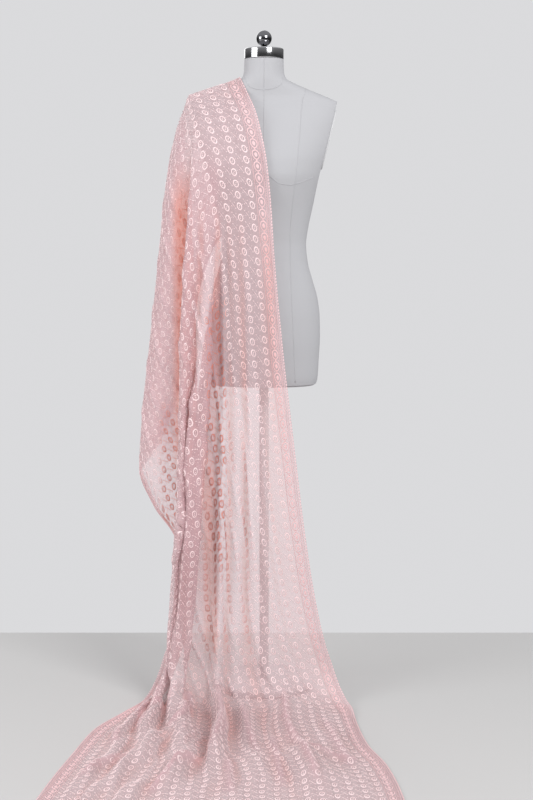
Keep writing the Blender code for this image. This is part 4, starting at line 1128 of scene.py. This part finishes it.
ring_heights = sorted({round(float(height), 4)
                       for height in [*FORM_SECTIONS[:, 0], *np.linspace(*RING_LEVELS)]})
form_canvas = added(bpy.ops.mesh.primitive_circle_add, "form_canvas", vertices=RING_SIDES,
                    radius=0.1, fill_type="NGON", location=(0.0, 0.0, ring_heights[0]))
bpy.ops.object.mode_set(mode="EDIT")
for lower, upper in zip(ring_heights, ring_heights[1:]):
    bpy.ops.mesh.extrude_region_move(TRANSFORM_OT_translate={"value": (0.0, 0.0, upper - lower)})
bpy.ops.object.mode_set(mode="OBJECT")
for vertex in form_canvas.data.vertices:
    x, y, z = vertex.co
    height = min(ring_heights, key=lambda value: abs(value - z))
    vertex.co = oval_point(math.atan2(y, x), height)
print("form_canvas:", len(form_canvas.data.vertices), "points before the arms are cut")

# %% Flat arm ends
ARMHOLE_LOW = 1.27        # below this height the sides keep their own shape
CUT_LOW = 1.34            # and above this one the arm's plane draws a rim
CANVAS_EDGE = 35          # degrees from which an edge of the canvas stays sharp
for side in (1, -1):
    place, lean = arm_place(side, ARM_PLATE_THICKNESS + PIECE_GAP)
    only(form_canvas)
    bpy.ops.object.mode_set(mode="EDIT")
    bpy.ops.mesh.select_all(action="DESELECT")
    bpy.ops.object.mode_set(mode="OBJECT")
    for polygon in form_canvas.data.polygons:
        polygon.select = polygon.center.z > CUT_LOW and polygon.center.x * side > 0
    bpy.ops.object.mode_set(mode="EDIT")
    bpy.ops.mesh.bisect(plane_co=place, plane_no=(side * math.cos(lean), 0.0, -side * math.sin(lean)))
    bpy.ops.object.mode_set(mode="OBJECT")
for vertex in form_canvas.data.vertices:
    if vertex.co.z > ARMHOLE_LOW:
        reach = arm_limit(vertex.co.z)
        vertex.co.x = max(min(vertex.co.x, reach), -reach)
faces_outwards(form_canvas)
only(form_canvas)
bpy.ops.object.shade_smooth_by_angle(angle=math.radians(CANVAS_EDGE))
print("form_canvas:", len(form_canvas.data.polygons), "faces")

# %% [markdown]
# The canvas is sewn from panels. Each seam is a narrow welt that stands a hair proud of the
# padding. It is drawn as a cord that follows the form's own surface through a few places.

# %% Seams of the canvas
# x and height of the places that each seam runs through, in millimetres; the last two are the
# halves of seams that cross the middle
MIDDLE_SEAM = ((0, 1682), (0, 1600), (0, 1450), (0, 1250), (0, 1000), (0, 840))
FRONT_SEAM = ((109, 1605), (100, 1574), (90, 1470), (80, 1368),
              (68, 1215), (71, 1085), (76, 981), (82, 842))
BACK_SEAM = ((95, 1611), (90, 1570), (82, 1450), (62, 1215), (68, 1085), (80, 842))
BUST_SEAM = ((0, 1384), (41, 1359), (67, 1356), (98, 1364), (130, 1377))
NECK_SEAM = ((0, 1603), (23, 1606), (41, 1614), (49, 1634))
SEAM_RADIUS = 0.0008
SEAM_WIDE, SEAM_PROUD = 1.6, 0.7     # a welt is wider than it is high, as shares of its radius
SEAM_SIDES = 6
SEAM_POINTS = 90


def other_side(places):
    """The same places on the other side of the form."""
    return tuple((-x, height) for x, height in places)


def across_middle(half):
    """A seam from side to side, from the half that starts in the middle."""
    return other_side(half[:0:-1]) + half


# name, over the front (-1) or the back (1), places
FORM_SEAMS = (
    ("seam_front_middle", -1, MIDDLE_SEAM),
    ("seam_front_right", -1, FRONT_SEAM),
    ("seam_front_left", -1, other_side(FRONT_SEAM)),
    ("seam_under_bust", -1, across_middle(BUST_SEAM)),
    ("seam_neck", -1, across_middle(NECK_SEAM)),
    ("seam_back_middle", 1, MIDDLE_SEAM),
    ("seam_back_right", 1, BACK_SEAM),
    ("seam_back_left", 1, other_side(BACK_SEAM)),
)


def seam_cord(name, face, places):
    """A welt over the form's front (-1) or back (1) through places of x and height."""
    fine = np.linspace(0, len(places) - 1, SEAM_POINTS)
    x, height = curve_through(np.arange(len(places)), np.array(places) / 1000, fine).T
    front, back = form_depth(x, height)
    line = np.stack([x, -front if face < 0 else back, height], axis=1)
    along = unit(np.gradient(line, axis=0))
    out = np.zeros_like(line)
    out[:, 1] = face
    out = unit(out - along * np.sum(out * along, axis=1, keepdims=True))
    side = np.cross(along, out)
    points = []
    for angle in 2 * math.pi * np.arange(SEAM_SIDES) / SEAM_SIDES:
        turn = side * math.cos(angle) * SEAM_WIDE + out * math.sin(angle) * SEAM_PROUD
        points.append(line + SEAM_RADIUS * turn)
    piece = mesh_piece(name, np.concatenate(points), tube_faces(0, SEAM_SIDES, SEAM_POINTS))
    faces_outwards(piece)
    piece.data.shade_smooth()
    return piece


form_seams = [seam_cord(*row) for row in FORM_SEAMS]
print("seams:", [piece.name for piece in form_seams])

# %% [markdown]
# ## Arm plates, neck cap and stand
# The arms end in flat oval plates, the neck in a bright cap with a ball to carry the form by, and
# the whole stands on a pole with a round base. All of them are turned or cut from simple stock,
# so they start as primitives and get their rounded edges from bevels.

# %% Arm plates
ARM_PLATE_HALVES = (0.040, 0.080)    # half width and half height
ARM_PLATE_EDGE = 0.0012   # rounding of its edges
SHARP = math.radians(30)  # edges that turn more than this are rounded, and shaded apart


def rounded(piece, width, segments):
    """Round a piece's sharp edges and smooth its shading."""
    apply_modifier(piece, "BEVEL", width=width, segments=segments, limit_method="ANGLE",
                   angle_limit=SHARP)
    only(piece)
    bpy.ops.object.shade_smooth_by_angle(angle=SHARP)


def make_arm_plate(side, name):
    """An oval plate on the cut-off arm."""
    plate = added(bpy.ops.mesh.primitive_cylinder_add, name, vertices=72, radius=1.0,
                  depth=ARM_PLATE_THICKNESS, rotation=(0.0, math.pi / 2, 0.0))
    plate.scale = (1.0, *ARM_PLATE_HALVES)
    plate.location, lean = arm_place(side, ARM_PLATE_THICKNESS / 2)
    plate.rotation_euler = (0.0, lean, 0.0)
    bpy.ops.object.transform_apply(location=True, rotation=True, scale=True)
    rounded(plate, ARM_PLATE_EDGE, 3)
    return plate


arm_plates = {1: make_arm_plate(1, "arm_end_right"), -1: make_arm_plate(-1, "arm_end_left")}
print("arm plates:", [plate.name for plate in arm_plates.values()])

# %% Neck cap and ball
CAP_RADIUS = 0.0515
CAP_HEIGHT = 0.028
COLLAR_RADIUS = 0.0115
COLLAR_HEIGHT = 0.0055
COLLAR_ROOM = 0.006       # from the cap to the ball
BALL_RADIUS = 0.0205


def turned(name, radius, height, low, edge):
    """A turned disc or rod standing on a height, with its edges rounded."""
    piece = added(bpy.ops.mesh.primitive_cylinder_add, name, vertices=96, radius=radius,
                  depth=height, location=(0.0, 0.0, low + height / 2))
    rounded(piece, edge, 4)
    return piece


neck_low = FORM_SECTIONS[-1][0] + PIECE_GAP
neck_plate = turned("neck_plate", CAP_RADIUS, CAP_HEIGHT, neck_low, edge=0.0030)
ball_low = neck_low + CAP_HEIGHT + PIECE_GAP
ball_collar = turned("ball_collar", COLLAR_RADIUS, COLLAR_HEIGHT, ball_low, edge=0.0012)
ball_middle = ball_low + COLLAR_ROOM + BALL_RADIUS
carrying_ball = added(bpy.ops.mesh.primitive_uv_sphere_add, "carrying_ball", segments=64,
                      ring_count=32, radius=BALL_RADIUS, location=(0.0, 0.0, ball_middle))
bpy.ops.object.shade_smooth()
print("top of the ball:", round(ball_middle + BALL_RADIUS, 4))

# %% Pole and base
BASE_RADIUS = 0.135
BASE_THICKNESS = 0.016
POLE_RADIUS = 0.0125
base_plate = turned("base_plate", BASE_RADIUS, BASE_THICKNESS, 0.0, edge=0.0055)
pole_low = BASE_THICKNESS + PIECE_GAP
pole_length = FORM_SECTIONS[0][0] - PIECE_GAP - pole_low
pole_tube = turned("pole_tube", POLE_RADIUS, pole_length, pole_low, edge=0.0008)
print("stand:", base_plate.name, pole_tube.name)

# %% [markdown]
# ## Finishes
# The net is mostly holes, so it is partly clear: each side of the thin shell lets most light
# through, and where folds lie over each other the pink builds up by itself. In the bottoms of the
# folds a darker, warmer pink is painted in as shade. The weave is drawn along the threads of the
# UV map. Thread, canvas, metal and paint are plain finishes with fine grain, since their colour
# is even; the thread gets the same painted shade in the folds.

# %% Net
WEAVE_SCALE = 240.0       # gives a thread every 1.3 mm
GATHERED_SHARE = 0.14     # how much more solid the net is where it's crushed together
NET = (0.735, 0.535, 0.555)
NET_DENSE = (0.67, 0.445, 0.47)
# colour of the painted shade in the bottoms of the folds
NET_PAINTED_SHADE = (0.80, 0.31, 0.24)
NET_SOLID = {"From Min": 0.35, "From Max": 0.95, "To Min": 0.18, "To Max": 0.39}  # holes to threads
SHEEN = {"Sheen Weight": 0.5, "Sheen Roughness": 0.4, "Sheen Tint": (1.0, 0.90, 0.90, 1.0)}


def tinted_by(finish, attribute_name, deep):
    """Let a finish's colour run to a deeper one with an attribute of its piece."""
    tree = finish.node_tree
    colour = tree.nodes["Principled BSDF"].inputs["Base Color"]
    plain = colour.links[0].from_socket if colour.is_linked else tuple(colour.default_value)
    where = add_node(tree, "Attribute", attribute_name=attribute_name)["Fac"]
    tint = add_node(tree, "Mix", {"Factor": where, "A": plain, "B": (*deep, 1.0)}, data_type="RGBA")
    tree.links.new(tint["Result"], colour)


pink_net = plain_material("pink_net", NET, 0.62)
tree = pink_net.node_tree
shader = tree.nodes["Principled BSDF"]
for socket, value in SHEEN.items():
    shader.inputs[socket].default_value = value
cloth_place = add_node(tree, "UVMap", uv_map="threads")["UV"]
warp, weft = (add_node(tree, "TexWave", {"Vector": cloth_place, "Scale": WEAVE_SCALE},
                       wave_type="BANDS", bands_direction=direction)["Fac"] for direction in "XY")
thread_here = add_node(tree, "Math", {0: warp, 1: weft}, operation="MAXIMUM")[0]
solid = add_node(tree, "MapRange", {"Value": thread_here, **NET_SOLID})["Result"]
crushed = add_node(tree, "Attribute", attribute_name="gathered")["Fac"]
denser = add_node(tree, "Math", {0: crushed, 1: GATHERED_SHARE, 2: solid}, operation="MULTIPLY_ADD")
tree.links.new(denser[0], shader.inputs["Alpha"])
tinted_by(pink_net, "gathered", NET_DENSE)
# paint the shade of the folds into the net's colour
tinted_by(pink_net, "valley", NET_PAINTED_SHADE)
print("net:", pink_net.name)

# %% Thread, canvas, metal and paint
# colour of the painted shade on the threads in the folds and in the shade boxes
THREAD_PAINTED_SHADE = (0.55, 0.165, 0.12)
GRAIN_DEPTH = 0.0005


def grained_material(name, colour, roughness, scale, strength):
    """A plain finish with a fine grain in its surface."""
    finish = plain_material(name, colour, roughness)
    tree = finish.node_tree
    place = add_node(tree, "TexCoord")["Object"]
    grain = add_node(tree, "TexNoise", {"Vector": place, "Scale": scale, "Detail": 3.0})["Fac"]
    bump = add_node(tree, "Bump", {"Height": grain, "Strength": strength, "Distance": GRAIN_DEPTH})
    tree.links.new(bump["Normal"], tree.nodes["Principled BSDF"].inputs["Normal"])
    return finish


stitch_thread = grained_material("stitch_thread", (0.79, 0.63, 0.635), 0.6, 900.0, 0.5)
edging_thread = grained_material("edging_thread", (0.73, 0.505, 0.515), 0.6, 900.0, 0.5)
# paint the shade of the folds into the threads' colour
tinted_by(stitch_thread, "valley", THREAD_PAINTED_SHADE)
tinted_by(edging_thread, "valley", THREAD_PAINTED_SHADE)
canvas = grained_material("grey_white_canvas", (0.42, 0.42, 0.436), 0.85, 1400.0, 0.35)
plate_finish = grained_material("arm_plate_finish", (0.60, 0.60, 0.61), 0.5, 600.0, 0.15)
paint = grained_material("stand_paint_finish", (0.50, 0.50, 0.50), 0.4, 500.0, 0.1)
bright = plain_material("bright_metal_finish", (0.62, 0.62, 0.635), 0.12, 1.0)
dark = plain_material("dark_metal_finish", (0.27, 0.27, 0.285), 0.12, 1.0)
print("finishes:", len(bpy.data.materials))

# %% [markdown]
# ## What each piece stands for
# Every piece rides with the object's one rigid body and wears its finish, and the solids that
# the pieces show better are hidden. The table below names a slot for each group and prints it.
# The flat size that the stole was cut to is printed at the end.

# %% Finishes and riding
# slot, the pieces in it and their finish
DRESSING = (
    ("field_cloth", [stole_cloth], pink_net),
    ("field_cloth", embroidery, stitch_thread),
    ("edging_cloth", edgings, edging_thread),
    ("form_canvas", [form_canvas] + form_seams, canvas),
    ("form_plate", arm_plates.values(), plate_finish),
    ("bright_metal", [neck_plate], bright),
    ("dark_metal", [ball_collar, carrying_ball], dark),
    ("stand_paint", [pole_tube, base_plate], paint),
)
for slot, pieces, finish in DRESSING:
    for piece in pieces:
        piece.data.materials.append(finish)
        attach(piece, "root")
    print(slot + ":", len(pieces), "pieces in", finish.name)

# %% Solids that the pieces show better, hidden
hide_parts("front_fall", "side_wing", "back_swag", "floor_train",
            "neck_border_fall", "neck_border_train", "neck_border_back",
            "outer_border_fall", "outer_border_train", "outer_border_back")
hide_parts("form_body")
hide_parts("arm_plate_right")
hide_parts("arm_plate_left")
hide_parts("neck_cap")
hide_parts("ball_finial")
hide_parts("stand_pole")
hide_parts("stand_base")
print("the sheet's flat size:", SHEET_WIDTH, "by", CUT_LENGTH)
